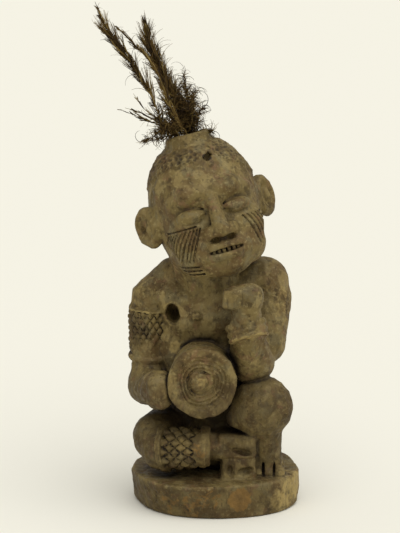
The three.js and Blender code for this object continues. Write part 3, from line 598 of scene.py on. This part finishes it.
def surfaceNet(form, low, high):
    # samples the form near its skin and puts one corner in each cell that the skin passes
    step, block = carving["step"], carving["block"]
    blocks = [int(np.ceil((h - l) / step / block)) for l, h in zip(low, high)]
    size = [count * block for count in blocks]
    low = np.array(low, np.float32)
    middles = np.indices(blocks).reshape(3, -1).T
    places = low + (middles * block + (block - 1) / 2) * step
    rough = sampled(form, places)
    reach = block * step * 0.87 * 1.15 + carving["margin"]
    near = np.abs(rough) < reach
    field = rough.reshape(blocks).astype(np.float32)
    for axis in range(3):
        field = np.repeat(field, block, axis)
    inner = np.indices([block] * 3).reshape(3, -1).T
    starts = middles[near] * block
    for part in np.array_split(starts, max(1, len(starts) // carving["blocksAtOnce"])):
        cells = (part[:, None] + inner[None]).reshape(-1, 3)
        field[tuple(cells.T)] = sampled(form, low + cells * step)
    print("sampled", len(starts), "blocks")

    inside = field < 0
    corners = list(product((0, 1), repeat=3))

    def shifted(values, corner):
        return values[tuple(slice(c, n - 1 + c) for c, n in zip(corner, size))]

    count = sum(shifted(inside, corner).astype(np.int8) for corner in corners)
    crossed = np.argwhere((count > 0) & (count < 8))
    numbers = np.full([n - 1 for n in size], -1, np.int32)
    numbers[tuple(crossed.T)] = np.arange(len(crossed))
    values = [field[tuple((crossed + corner).T)] for corner in corners]
    total = np.zeros((len(crossed), 3), np.float32)
    hits = np.zeros(len(crossed), np.float32)
    for a, b in combinations(range(8), 2):
        run = np.array(corners[b]) - np.array(corners[a])
        if np.abs(run).sum() == 1:
            passes = (values[a] < 0) != (values[b] < 0)
            share = values[a][passes] / (values[a][passes] - values[b][passes])
            total[passes] += np.array(corners[a]) + share[:, None] * run
            hits[passes] += 1
    points = low + (crossed + total / hits[:, None]) * step

    quads = []
    for axis in range(3):
        ahead = [slice(None)] * 3
        behind = [slice(None)] * 3
        ahead[axis] = slice(1, None)
        behind[axis] = slice(None, -1)
        start, end = inside[tuple(behind)], inside[tuple(ahead)]
        u, v = (axis + 1) % 3, (axis + 2) % 3
        for leaves, order in ((True, 1), (False, -1)):
            cells = np.argwhere((start != end) & (start == leaves))
            ring = []
            for du, dv in ((-1, -1), (0, -1), (0, 0), (-1, 0))[::order]:
                cell = cells.copy()
                cell[:, u] += du
                cell[:, v] += dv
                ring.append(numbers[tuple(cell.T)])
            quads.append(np.stack(ring, 1))
    return points, np.concatenate(quads)


def slopeOf(form, points, reach=0.25):
    points = points.astype(np.float32)
    shifts = np.eye(3, dtype=np.float32) * reach
    changes = [sampled(form, points + shift) - sampled(form, points - shift) for shift in shifts]
    slope = np.stack(changes, 1) / (2 * reach)
    length = np.linalg.norm(slope, axis=1, keepdims=True) + 1e-6
    return slope / length, length[:, 0]


# how closed in the skin is, seen from these heights, is drawn as painted shade: in fine creases, in hollows
# and on a larger scale
closeness = {"creaseShade": (0.6, 1.3), "hollow": (1.5, 3.5, 7), "shelterShade": (16, 28)}  # mm over the skin


def closedIn(form, points, normals, heights):
    # how closed in a place is, seen from some heights over it: 0 on the open surface, 1 deep in a crease
    closed = np.zeros(len(points), np.float32)
    for height in heights:
        closed += np.clip(1 - sampled(form, points + normals * height) / height, 0, 1)
    return closed / len(heights)


def edgeOf(form, points, normals):
    # how much a place stands out: 0 on a flat or in a hollow, 1 on a sharp edge
    proud = np.zeros(len(points), np.float32)
    depths = (0.8, 1.8)
    for depth in depths:
        proud += np.clip(1 + sampled(form, points - normals * depth) / depth, 0, 1)
    return proud / len(depths)


def headShare(z):
    # 1 on the head and 0 on the body, by height
    return smoothStep(z, 126, 132)


def handMarks(points):
    # how far the knife's marks raise the skin, in millimetres, how dark dirt has made the fine pits,
    # and a number for each facet that the knife left
    x, y, z = points.T
    turn, middle = frameOf(head["middle"], headTurns)
    hx, hy, hz = ((points - middle) @ turn).T
    onHead = headShare(z)
    onFace = onHead * (1 - smoothStep(hy, -14, -6)) * (1 - smoothStep(hz, 6, 12))
    onPlinth = 1 - smoothStep(z, plinth["thickness"] - 0.6, plinth["thickness"] + 0.4)
    wander = carving["waviness"] * (noise(x, y, z, 11) + 0.5 * noise(x, y, z, 4.5))
    ridges, facet = scoops(x, y, z * 0.8, carving["scoopSize"])
    ridge = carving["scoopDepth"] * (ridges - 0.4)
    grain = carving["grainDepth"] * noise(x, y, z * 0.25, carving["grainSize"])
    hair = onHead * hairShare(hx, hy, hz)
    pits = 1 - scoops(x, y, z, carving["stubbleSize"])[0]
    stubble = -carving["stubbleDepth"] * hair * pits
    rough = onPlinth * (0.45 * noise(x, y, z, 8) + 0.25 * noise(x, y, z, 2.6) - 0.15)
    calm = 1 - 0.75 * onFace
    nicks = np.clip(noise(x, y, z, 2.1) * noise(x, y, z, 1.3) - 0.28, 0, 1)
    facet = 0.5 + (facet - 0.5) * calm
    marks = calm * (wander + ridge * (1 - 0.7 * onPlinth)) + grain + stubble + rough
    marks -= carving["nickDepth"] * nicks
    return marks, np.clip(hair * (0.15 + 0.85 * pits) + 2.2 * nicks, 0, 1), facet


# places where the colour differs from the rest, with painted shadow and painted light among them: middle and
# reach in mm, and strength
spots = {
    "orange": [  # worn to warm wood
        ((12.8, -35.7, 10.4), 7.5, 1), ((-9.3, -40.6, 76.2), 5, 0.3), ((-10, -38, 8), 11, 0.45),
        ((-24, -33, 8), 9, 0.4), ((-2, -39, 11), 8, 0.4), ((16.5, -39.5, 98), 4, 0.4),
        ((-18.4, -36.5, 38.9), 6, 0.5), ((-9, -37.5, 37), 6, 0.5),
    ],
    "paintedShadow": [  # painted shadow: black in the lap, under the shin and in the notch of the crown
        ((-18, -12, 53), 14, 0.9), ((2, -18, 50), 13, 0.9), ((-14, -20, 24), 8, 0.6),
        ((-4.4, -16.6, 188.4), 3.4, 1),
    ],
    "pale": [  # rubbed or dusty, and painted light on the tops of the shoulders and on the drum's left rim
        ((39, -20, 9), 10, 0.7), ((44, -12, 12), 10, 0.75), ((36, -14, 18.2), 12, 0.6),
        ((34, -28, 8), 8, 0.7), ((-8.3, -40.6, 74.8), 4.5, 0.5), ((-23.5, -38.5, 68), 6, 0.5),
        ((-23, -38.5, 76), 4.5, 0.45), ((-21, -11, 86), 4.5, 0.8), ((-18.4, -36.5, 38.9), 10, 0.6),
        ((-5.2, -35, 40), 5, 0.6), ((16.8, -40.5, 98.4), 1.6, 1), ((36, 4, 108), 20, 0.4),
        ((-40, 4, 112), 16, 0.4), ((-30, -38, 10), 7, 0.4),
    ],
}


def spotShare(points, places):
    share = np.zeros(len(points), np.float32)
    for middle, reach, strength in places:
        away = np.linalg.norm(points - np.array(middle, np.float32), axis=1) / reach
        share = np.maximum(share, strength * (1 - smoothStep(away, 0.55, 1.1)))
    return share


def shadeAndGrimeOf(points):
    # painted shade from the light overhead, with dirt: darker towards the bottom and round the armband, less
    # so on the base's top and not at all on the base's left side
    x, y, z = points.T
    low = 1 - smoothStep(z, 55, 100)
    aboveSide = smoothStep(z, plinth["thickness"] - 2, plinth["thickness"])
    onTop = aboveSide * (1 - smoothStep(z, plinth["thickness"] + 1.3, plinth["thickness"] + 3.8))
    sparedSide = (1 - aboveSide) * smoothStep(x, 28, 38)
    net = np.exp(-(((x + 42) / 9) ** 2) - ((y + 8) / 14) ** 2 - ((z - 94) / 12) ** 2)
    return np.maximum(low * (0.74 - 0.55 * onTop) * (1 - sparedSide), 0.9 * net)


def makeMesh(name, points, faces, material):
    mesh = bpy.data.meshes.new(name)
    mesh.from_pydata((points / 1000).tolist(), [], faces)
    mesh.update()
    mesh.materials.append(material)
    return addObject(name, mesh)


def addAttribute(piece, name, values):
    layer = piece.data.attributes.new(name, "FLOAT", "POINT")
    layer.data.foreach_set("value", np.ascontiguousarray(values, np.float32))


def carvedFigure(material):
    form = figureForm()
    points, faces = surfaceNet(form, (-49, -46, -3), (49, 44, 204))
    print("carved skin", len(points), "corners")
    normals, slopes = slopeOf(form, points)
    points -= normals * (sampled(form, points) / slopes)[:, None].clip(-0.4, 0.4)
    painted = {name: closedIn(form, points, normals, heights) for name, heights in closeness.items()}
    onHead = headShare(points[:, 2])
    edge = edgeOf(form, points, normals) * (1 - smoothStep(painted["hollow"], 0.04, 0.2))
    painted["edge"] = edge * (1 - 0.85 * onHead)
    painted["hollow"] *= 1 - 0.35 * onHead
    marks, painted["pits"], painted["facet"] = handMarks(points)
    flatBelow = smoothStep(points[:, 2], 0.2, 1.5)
    points += normals * (marks * flatBelow)[:, None]
    print("marks of the knife cut")
    piece = makeMesh("carvedFigure", points, faces.tolist(), material)
    painted["shadeAndGrime"] = shadeAndGrimeOf(points)
    for name, places in spots.items():
        painted[name] = spotShare(points, places)
    for name, values in painted.items():
        addAttribute(piece, name, values)
    thin = piece.modifiers.new("thin", "DECIMATE")
    thin.ratio = min(1, carving["triangles"] / (2 * len(faces)))
    evaluated = piece.evaluated_get(bpy.context.evaluated_depsgraph_get())
    mesh = bpy.data.meshes.new_from_object(evaluated)
    piece.modifiers.clear()
    piece.data = mesh
    piece.data.shade_smooth()
    print("figure", len(piece.data.polygons), "faces")
    return piece


# Feathers: each has a shaft from the crown's socket and loose, ragged barbs on both sides of it. "from" is
# where the barbs begin, "bare" how thin they have worn lower down, "spread" how far they reach low down and
# at the tip, and "plumes" the places where curly down from round the foot of the shaft ends.

feathers = {
    "feather_tall_left": {
        "seat": (-4.8, -3.4),
        "path": [(-27, -3.5, 203), (-30.5, -3.2, 211), (-34, -3, 220), (-40, -2.5, 230), (-48, -2, 241),
                 (-56, -1.5, 252), (-60.5, -1, 262.5)],
        "shaft": 0.6, "locks": 150, "from": 0.24, "bare": 0.5, "spread": (5.4, 4.4),
        "plumes": [(-30, -4, 206), (-28.5, -6, 200), (-26, -5, 213), (-24, -8, 204), (-31.5, -3, 198),
                   (-37, -3, 194)],
    },
    "feather_tall_right": {
        "seat": (2.2, 1.8),
        "path": [(-16.5, 5, 203), (-19, 5.2, 209), (-22.5, 5, 216), (-26, 4.5, 225), (-30.5, 3.5, 235),
                 (-34, 3, 243), (-36.2, 2.6, 254)],
        "shaft": 0.65, "locks": 230, "from": 0.2, "bare": 0.1, "spread": (7.5, 5.4),
        "plumes": [(-16.5, 2, 228), (-10.8, 4, 219.5), (-6.6, 2, 210.5), (-2, 1, 198.5), (-19.5, -3, 221),
                   (-21.5, 6, 221), (-15.8, 0, 222), (-12.4, -2, 217), (-23.5, 2, 215), (-14, -5, 211),
                   (-18, 8, 209), (-24, -2, 207), (-9, 7, 203), (-20.5, -6, 203), (-12, -1, 217)],
    },
    "feather_crossing": {
        "seat": (-0.6, -5.2),
        "path": [(-19, -5.2, 203), (-24.5, -6.4, 216), (-29.5, -6.8, 229), (-35, -6.8, 237), (-43, -6.8, 246),
                 (-50, -6.6, 253)],
        "shaft": 0.6, "locks": 70, "from": 0.22, "bare": 0.3, "spread": (3.6, 2.6),
    },
    "feather_short_upper": {
        "seat": (-6, -0.4),
        "path": [(-27, -0.6, 203.5), (-31, -0.8, 206), (-37.5, -1, 211), (-42.5, -1, 218.5)],
        "shaft": 0.4, "locks": 12, "from": 0.4, "spread": (2, 1),
    },
    "feather_short_middle": {
        "seat": (-5.4, 2.2),
        "path": [(-27, 2.4, 201), (-31, 2.6, 203.5), (-39, 3, 208), (-47, 3, 210.5)],
        "shaft": 0.4, "locks": 18, "from": 0.35, "spread": (3, 1.5),
    },
    "feather_short_lower": {
        "seat": (-3.6, 5),
        "path": [(-27, 6, 199), (-31, 6.6, 201.5), (-38.5, 7, 204.5), (-49.5, 7, 209)],
        "shaft": 0.4, "locks": 20, "from": 0.3, "spread": (4, 1.5),
    },
}
strand = {"knots": 9, "sides": 3, "root": 0.23, "tip": 0.07}
lock = {"barbs": 7, "clump": 0.014, "opening": 20, "downyOpening": 26, "shortest": 2, "longest": 14}
down = {"barbs": 120, "length": (4, 11), "curl": 1.9,
        "hooks": 4, "hookLength": (9, 14), "hookCurl": (2.4, 4.2)}


def smoothPath(points, count):
    # a smooth curve through the points, with corners at even distances
    points = np.array(points, float)
    padded = np.vstack([2 * points[0] - points[1], points, 2 * points[-1] - points[-2]])
    fine = []
    for a, b, c, d in zip(padded, padded[1:], padded[2:], padded[3:]):
        for t in np.linspace(0, 1, 24, endpoint=False):
            fine.append(0.5 * (
                2 * b + (c - a) * t + (2 * a - 5 * b + 4 * c - d) * t ** 2 + (3 * b - a - 3 * c + d) * t ** 3
            ))
    fine = np.array(fine + [points[-1]])
    lengths = np.concatenate([[0], np.cumsum(np.linalg.norm(np.diff(fine, axis=0), axis=1))])
    wanted = np.linspace(0, lengths[-1], count)
    return np.stack([np.interp(wanted, lengths, fine[:, i]) for i in range(3)], 1)


def unit(runs):
    return runs / (np.linalg.norm(runs, axis=-1, keepdims=True) + 1e-9)


def tubes(paths, radii):
    # closed, tapering tubes along many paths at once: paths is (tubes, knots, 3) and radii (tubes, knots)
    count, knots = radii.shape
    sides = strand["sides"]
    along = unit(np.gradient(paths, axis=1))
    guide = np.where(np.abs(along[..., 1:2]) < 0.9, [[[0, 1, 0]]], [[[1, 0, 0]]])
    across = unit(np.cross(guide, along))
    up = np.cross(along, across)
    angles = np.arange(sides)[None, None, :, None] * 2 * np.pi / sides
    ring = np.cos(angles) * across[:, :, None] + np.sin(angles) * up[:, :, None]
    points = paths[:, :, None] + ring * radii[:, :, None, None]
    starts = np.arange(count)[:, None, None] * knots * sides
    level = np.arange(knots - 1)[None, :, None] * sides
    side = np.arange(sides)[None, None]
    turned = (side + 1) % sides
    corners = [side, turned, turned + sides, side + sides]
    walls = np.stack([starts + level + corner for corner in corners], -1).reshape(-1, 4)
    first = starts[:, 0] + np.arange(sides)[None, ::-1]
    last = starts[:, 0] + (knots - 1) * sides + np.arange(sides)[None]
    return points.reshape(-1, 3), walls.tolist() + first.tolist() + last.tolist()


def strandPaths(root, heading, turn, tilt, tiltTurn, length):
    # heading is the angle from straight up towards +X and tilt the angle towards +Y; both change on the way
    t = np.linspace(0, 1, strand["knots"])[None]
    angle = heading[:, None] + turn[:, None] * t ** 1.4
    lift = tilt[:, None] + tiltTurn[:, None] * t
    step = np.stack([np.sin(angle) * np.cos(lift), np.sin(lift), np.cos(angle) * np.cos(lift)], 2)
    step *= (length / (strand["knots"] - 1))[:, None, None]
    return root[:, None] + np.concatenate([np.zeros((len(root), 1, 3)), np.cumsum(step[:, 1:], axis=1)], 1)


def shaftSpots(shaft, at):
    # places at the given shares of the shaft, and the shaft's own angle from straight up towards +X there
    index = np.clip(at, 0, 1) * (len(shaft) - 1)
    low = np.minimum(index.astype(int), len(shaft) - 2)
    step = shaft[low + 1] - shaft[low]
    return shaft[low] + step * (index - low)[:, None], np.arctan2(step[:, 0], step[:, 2])


def barbLocks(shaft, facts, chance):
    # ragged locks of barbs on both sides of the shaft; the barbs of a lock cling together at its tip
    locks, each = facts["locks"], lock["barbs"]
    lockAt = facts["from"] + (1 - facts["from"]) * chance.uniform(0, 1, locks)
    lockAt = lockAt[chance.uniform(0, 1, locks) < 1.15 - facts.get("bare", 0) * (lockAt < 0.6)]
    locks = len(lockAt)
    at = np.repeat(lockAt, each) + chance.normal(0, lock["clump"], locks * each)
    side = np.repeat(np.where(chance.uniform(size=locks) < 0.5, -1, 1), each)
    root, upward = shaftSpots(shaft, at)
    lockRoot, _ = shaftSpots(shaft, np.repeat(lockAt, each))
    downy = np.clip((0.5 - at) / 0.3, 0, 1)
    opening = np.repeat(chance.normal(0, 0.16, locks), each)
    opening += np.radians(lock["opening"] + lock["downyOpening"] * downy)
    opening += chance.normal(0, 0.05, locks * each)
    low, high = facts["spread"][1], facts["spread"][0]
    reach = (low + (high - low) * downy) * np.repeat(chance.uniform(0.3, 1.4, locks), each)
    reach *= np.clip((1.02 - at) * 4, 0.2, 1)
    length = np.clip(reach / np.sin(np.clip(opening, 0.24, 1.4)), lock["shortest"], lock["longest"])
    length *= chance.uniform(0.85, 1.1, len(at))
    inward = -side * np.repeat(chance.normal(0.5, 0.5, locks), each) * opening * 1.6
    stray = (chance.uniform(size=len(at)) < 0.1 + 0.25 * downy) * chance.normal(0, 1.3, len(at))
    tilt = np.repeat(chance.normal(0, 0.3 + 0.4 * downy.mean(), locks), each) + chance.normal(0, 0.1, len(at))
    paths = strandPaths(root, upward + side * opening, inward + stray, tilt, -tilt * 0.8, length)
    t = np.linspace(0, 1, strand["knots"])[None, :, None]
    paths -= (root - lockRoot)[:, None] * t * 0.9
    tint = np.repeat(chance.uniform(0, 1, locks), each) * 0.75 + chance.uniform(0, 0.25, len(at))
    return paths, tint


def downBarbs(shaft, facts, chance):
    # plumes of curly down that leave the crown's socket with the shaft
    found = []
    for end in facts.get("plumes", ()):
        start, low = shaft[0], shaft[26]
        middle = (low + np.array(end)) / 2 + chance.normal(0, 0.8, 3) + (0, 0, 1.5)
        rod = smoothPath([start, (start + low) / 2, low, middle, end], 40)
        count = down["barbs"]
        at = chance.uniform(0.4, 1, count) ** 0.8
        root, upward = shaftSpots(rod, at)
        side = np.where(chance.uniform(size=count) < 0.5, -1, 1)
        heading = upward + side * chance.uniform(0.2, 1.5, count)
        curl = chance.normal(0, down["curl"], count)
        length = chance.uniform(*down["length"], count) * (1.15 - 0.5 * at)
        tilt = chance.normal(0, 0.8, count)
        found.append(strandPaths(root, heading, curl, tilt, chance.normal(0, 1.1, count), length))
        found.append(smoothPath(rod, strand["knots"])[None])
        # a few longer strands roll up like hooks
        hooks = down["hooks"]
        root, upward = shaftSpots(rod, chance.uniform(0.5, 1, hooks))
        curl = np.where(chance.uniform(size=hooks) < 0.5, -1, 1) * chance.uniform(*down["hookCurl"], hooks)
        flat = chance.normal(0, 0.3, hooks)
        length = chance.uniform(*down["hookLength"], hooks)
        found.append(strandPaths(root, upward - curl * 0.15, curl, flat, flat, length))
    return found


def keepInBox(points):
    # a loose barb may pass the solids' box by no more than a small share of its side
    low, high = (np.array(corner) * 1000 for corner in cadBounds)
    spare = 0.025 * (high - low)
    return np.clip(points, low - spare, high + spare)


def featherPiece(name, facts, seed, material):
    chance = np.random.default_rng(seed)
    turn, middle = frameOf(head["middle"], headTurns)
    floor = collar["top"] - collar["socketDepth"] + 0.6
    quill = [
        middle + turn @ np.array([facts["seat"][0], collar["back"] + facts["seat"][1], height])
        for height in (floor, collar["top"] + 1)
    ]
    shaft = smoothPath(quill + facts["path"], 160)
    paths, tint = barbLocks(shaft, facts, chance)
    paths = np.concatenate([paths] + downBarbs(shaft, facts, chance))
    tint = np.concatenate([tint, chance.uniform(0, 0.85, len(paths) - len(tint))])
    t = np.linspace(0, 1, strand["knots"])[None]
    radii = strand["root"] + (strand["tip"] - strand["root"]) * t ** 0.8
    radii = radii * chance.uniform(0.7, 1.25, len(paths))[:, None]
    points, faces = tubes(keepInBox(paths), radii)
    rodRadii = facts["shaft"] * (1 - 0.75 * np.linspace(0, 1, len(shaft)))
    rod, rodFaces = tubes(shaft[None], rodRadii[None])
    faces += [[corner + len(points) for corner in face] for face in rodFaces]
    piece = makeMesh(name + "_barbs", np.concatenate([points, rod]), faces, material)
    each = strand["knots"] * strand["sides"]
    addAttribute(piece, "tint", np.concatenate([np.repeat(tint, each), np.full(len(rod), 0.8)]))
    piece.data.shade_smooth()
    return piece


# Materials
def linear(hexColour):
    parts = [int(hexColour[i:i + 2], 16) / 255 for i in (1, 3, 5)]
    return [p / 12.92 if p < 0.04045 else ((p + 0.055) / 1.055) ** 2.4 for p in parts] + [1]


def addNode(tree, kind, settings=None, inputs=None):
    node = tree.nodes.new(kind)
    for name, value in (settings or {}).items():
        setattr(node, name, value)
    for name, value in (inputs or {}).items():
        if isinstance(value, bpy.types.NodeSocket):
            tree.links.new(value, node.inputs[name])
        else:
            node.inputs[name].default_value = value
    return node


def newMaterial(name, plain):
    # a material with its plain values set; gives its nodes and its shader too
    material = bpy.data.materials.new(name)
    material.use_nodes = True
    shader = material.node_tree.nodes["Principled BSDF"]
    for socket, value in plain.items():
        shader.inputs[socket].default_value = value
    return material, material.node_tree, shader


patinaAndShade = {
    "wood": "#77663c",
    "satinSize": 2.5,  # mm across the duller and the more polished patches
    "satin": (0.5, 0.78),
    "sheen": 0.22,
    "poreSize": 1.5,  # the pores are finer than this, drawn so wide to show
    "poreDepth": 0.6,
    "grainStretch": 0.3,
    # What lies over the wood, with painted shade and painted light among it, from the inside outwards:
    # colour, the painted attribute that it follows, mm across the patches that break it up, how strongly they
    # do, where it comes in and where it is full, and its largest share. "grain" is no attribute: that layer
    # is drawn out along the wood.
    "layers": [
        ("#5f4a2a", "", 14, 1, 0.45, 0.6, 0.8),  # brown fields
        ("#746a4a", "", 9, 1, 0.52, 0.62, 0.6),  # grey-green fields
        ("#7c5c40", "", 7, 1, 0.57, 0.64, 0.5),  # where it was handled most
        ("#9a8756", "facet", 4, 0.7, 0.9, 1.3, 0.45),  # knife facets that took the hand
        ("#3f3219", "facet", 4, -0.7, 0.05, -0.4, 0.45),  # facets that stayed dark
        ("#3d3019", "", 5, 1, 0.52, 0.66, 0.6),  # smoke stains
        ("#9c8b5c", "", 1.9, 1, 0.53, 0.68, 0.5),  # dust
        ("#33291a", "grain", 1.6, 1, 0.54, 0.7, 0.5),  # open grain
        ("#b09a5e", "edge", 3.5, 0.9, 0.6, 1.05, 0.6),  # worn edges
        ("#967138", "orange", 2.8, 1.6, 1.15, 1.45, 0.85),
        # pale rub and dust, with painted light on the shoulders and on the drum's left rim
        ("#ad965c", "pale", 2.8, 1.6, 1.1, 1.7, 0.8),
        ("#41351f", "shelterShade", 5, 0.5, 0.6, 1.3, 0.3),  # painted shade where the form is closed in on a large scale
        # painted shadow in the lap, under the shin and in the crown's notch
        ("#1b130a", "paintedShadow", 5, 0.6, 0.7, 1.2, 0.9),
        # painted shade with dirt: darker towards the bottom and round the armband
        ("#3d301a", "shadeAndGrime", 5, 1.2, 0.75, 1.7, 0.75),
        ("#33291a", "pits", 2, 0.4, 0.3, 1.1, 0.75),
        # painted shade in narrow grooves and cuts
        ("#2a1f11", "creaseShade", 2, 0.3, 0.32, 0.75, 0.85),
        # painted shade: near black where the form closes in round a place, seen from 1.5 to 7 mm over it
        ("#1b130a", "hollow", 3, 0.15, 0.44, 0.95, 0.95),
    ],
}


def patinatedWoodWithShade():
    # Close-grained hardwood, carved with adze and knife, handled and smoked for years: brown and grey-green
    # fields, pale dust and worn edges, painted shade in the cuts, the hollows and lower down, painted light
    # on the shoulders, and a sheen that goes from satin to dull in patches
    material, tree, shader = newMaterial("handledHardwoodPatinaAndShade", {
        "IOR": 1.5, "Specular IOR Level": patinaAndShade["sheen"],
    })
    place = addNode(tree, "ShaderNodeTexCoord").outputs["Object"]
    tone = linear(patinaAndShade["wood"])
    for colour, where, size, ragged, start, full, most in patinaAndShade["layers"]:
        stretch = patinaAndShade["grainStretch"] if where == "grain" else 1
        stretched = addNode(tree, "ShaderNodeMapping", None, {
            "Vector": place, "Location": (size, start, 0), "Scale": (1, 1, stretch),
        })
        patches = addNode(tree, "ShaderNodeTexNoise", None, {
            "Vector": stretched.outputs[0], "Scale": 1000 / size, "Detail": 4, "Roughness": 0.6,
        })
        painted = addNode(tree, "ShaderNodeAttribute", {"attribute_name": where})
        broken = addNode(tree, "ShaderNodeMath", {"operation": "MULTIPLY_ADD"}, {
            0: patches.outputs["Fac"], 1: ragged, 2: painted.outputs["Fac"],
        })
        share = addNode(tree, "ShaderNodeMapRange", {"interpolation_type": "SMOOTHSTEP"}, {
            "Value": broken.outputs[0], "From Min": start, "From Max": full, "To Min": 0, "To Max": most,
        })
        tone = addNode(tree, "ShaderNodeMix", {"data_type": "RGBA"}, {
            0: share.outputs[0], 6: tone, 7: linear(colour),
        }).outputs[2]
    tree.links.new(tone, shader.inputs["Base Color"])
    satin = addNode(tree, "ShaderNodeTexNoise", None, {"Vector": place, "Scale": 1000 / patinaAndShade["satinSize"]})
    roughness = addNode(tree, "ShaderNodeMapRange", None, {
        "Value": satin.outputs["Fac"], "From Min": 0.3, "From Max": 0.7,
        "To Min": patinaAndShade["satin"][0], "To Max": patinaAndShade["satin"][1],
    })
    tree.links.new(roughness.outputs[0], shader.inputs["Roughness"])
    fine = addNode(tree, "ShaderNodeTexNoise", None, {
        "Vector": place, "Scale": 1000 / patinaAndShade["poreSize"], "Detail": 4,
    })
    bump = addNode(tree, "ShaderNodeBump", None, {
        "Strength": 0.7, "Distance": patinaAndShade["poreDepth"] / 1000, "Height": fine.outputs["Fac"],
    })
    tree.links.new(bump.outputs[0], shader.inputs["Normal"])
    return material


plume = {"dark": "#33240f", "olive": "#6b5327", "pale": "#a89355"}


def dryFeather():
    # Old wing and body feathers, dry and broken: nearly black, with rusty olive barbs among them
    material, tree, shader = newMaterial("dryFeatherBarbs", {
        "Roughness": 0.6, "IOR": 1.54, "Specular IOR Level": 0.2,
    })
    tint = addNode(tree, "ShaderNodeAttribute", {"attribute_name": "tint"}).outputs["Fac"]
    ramp = addNode(tree, "ShaderNodeValToRGB", None, {"Fac": tint})
    stops = ramp.color_ramp.elements
    stops[0].position, stops[0].color = 0.3, linear(plume["dark"])
    stops[1].position, stops[1].color = 1, linear(plume["pale"])
    stops.new(0.72).color = linear(plume["olive"])
    tree.links.new(ramp.outputs[0], shader.inputs["Base Color"])
    return material


studio = {
    "floor": "#f2efe1",
    "sky": "#ffffff",
    "skyStrength": 0.5,
    "sunStrength": 1.86,
    "sunSpread": 70,  # degrees across the soft light overhead
    "sunHeading": (-0.2, 0.42, -1),
    "floorHalf": 9000,
}


def addOverheadLight():
    data = bpy.data.lights.new("overhead", "SUN")
    data.energy = studio["sunStrength"]
    data.angle = math.radians(studio["sunSpread"])
    light = addObject("overhead", data)
    light.rotation_euler = Vector(studio["sunHeading"]).to_track_quat("-Z", "Y").to_euler()


def addStudio():
    bpy.context.scene.view_settings.view_transform = "Standard"
    half = studio["floorHalf"]
    corners = np.array([(-half, -half, 0), (half, -half, 0), (half, half, 0), (-half, half, 0)], float)
    # seamless background paper, quite without sheen
    paper = newMaterial("matteCreamPaper", {
        "Base Color": linear(studio["floor"]), "Roughness": 0.95, "Specular IOR Level": 0,
    })[0]
    makeMesh("floor", corners, [(0, 1, 2, 3)], paper)
    world = bpy.data.worlds.new("softbox")
    bpy.context.scene.world = world
    world.use_nodes = True
    sky = world.node_tree.nodes["Background"]
    sky.inputs["Color"].default_value = linear(studio["sky"])
    sky.inputs["Strength"].default_value = studio["skyStrength"]
    addOverheadLight()


addStudio()
wood = patinatedWoodWithShade()
feather = dryFeather()

figure = carvedFigure(wood)
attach(figure, "root")
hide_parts("carved_figure")

firstSeed = 100
for number, (name, facts) in enumerate(feathers.items()):
    piece = featherPiece(name, facts, firstSeed + number, feather)
    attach(piece, "root")
    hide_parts(name)
print("feathers made")
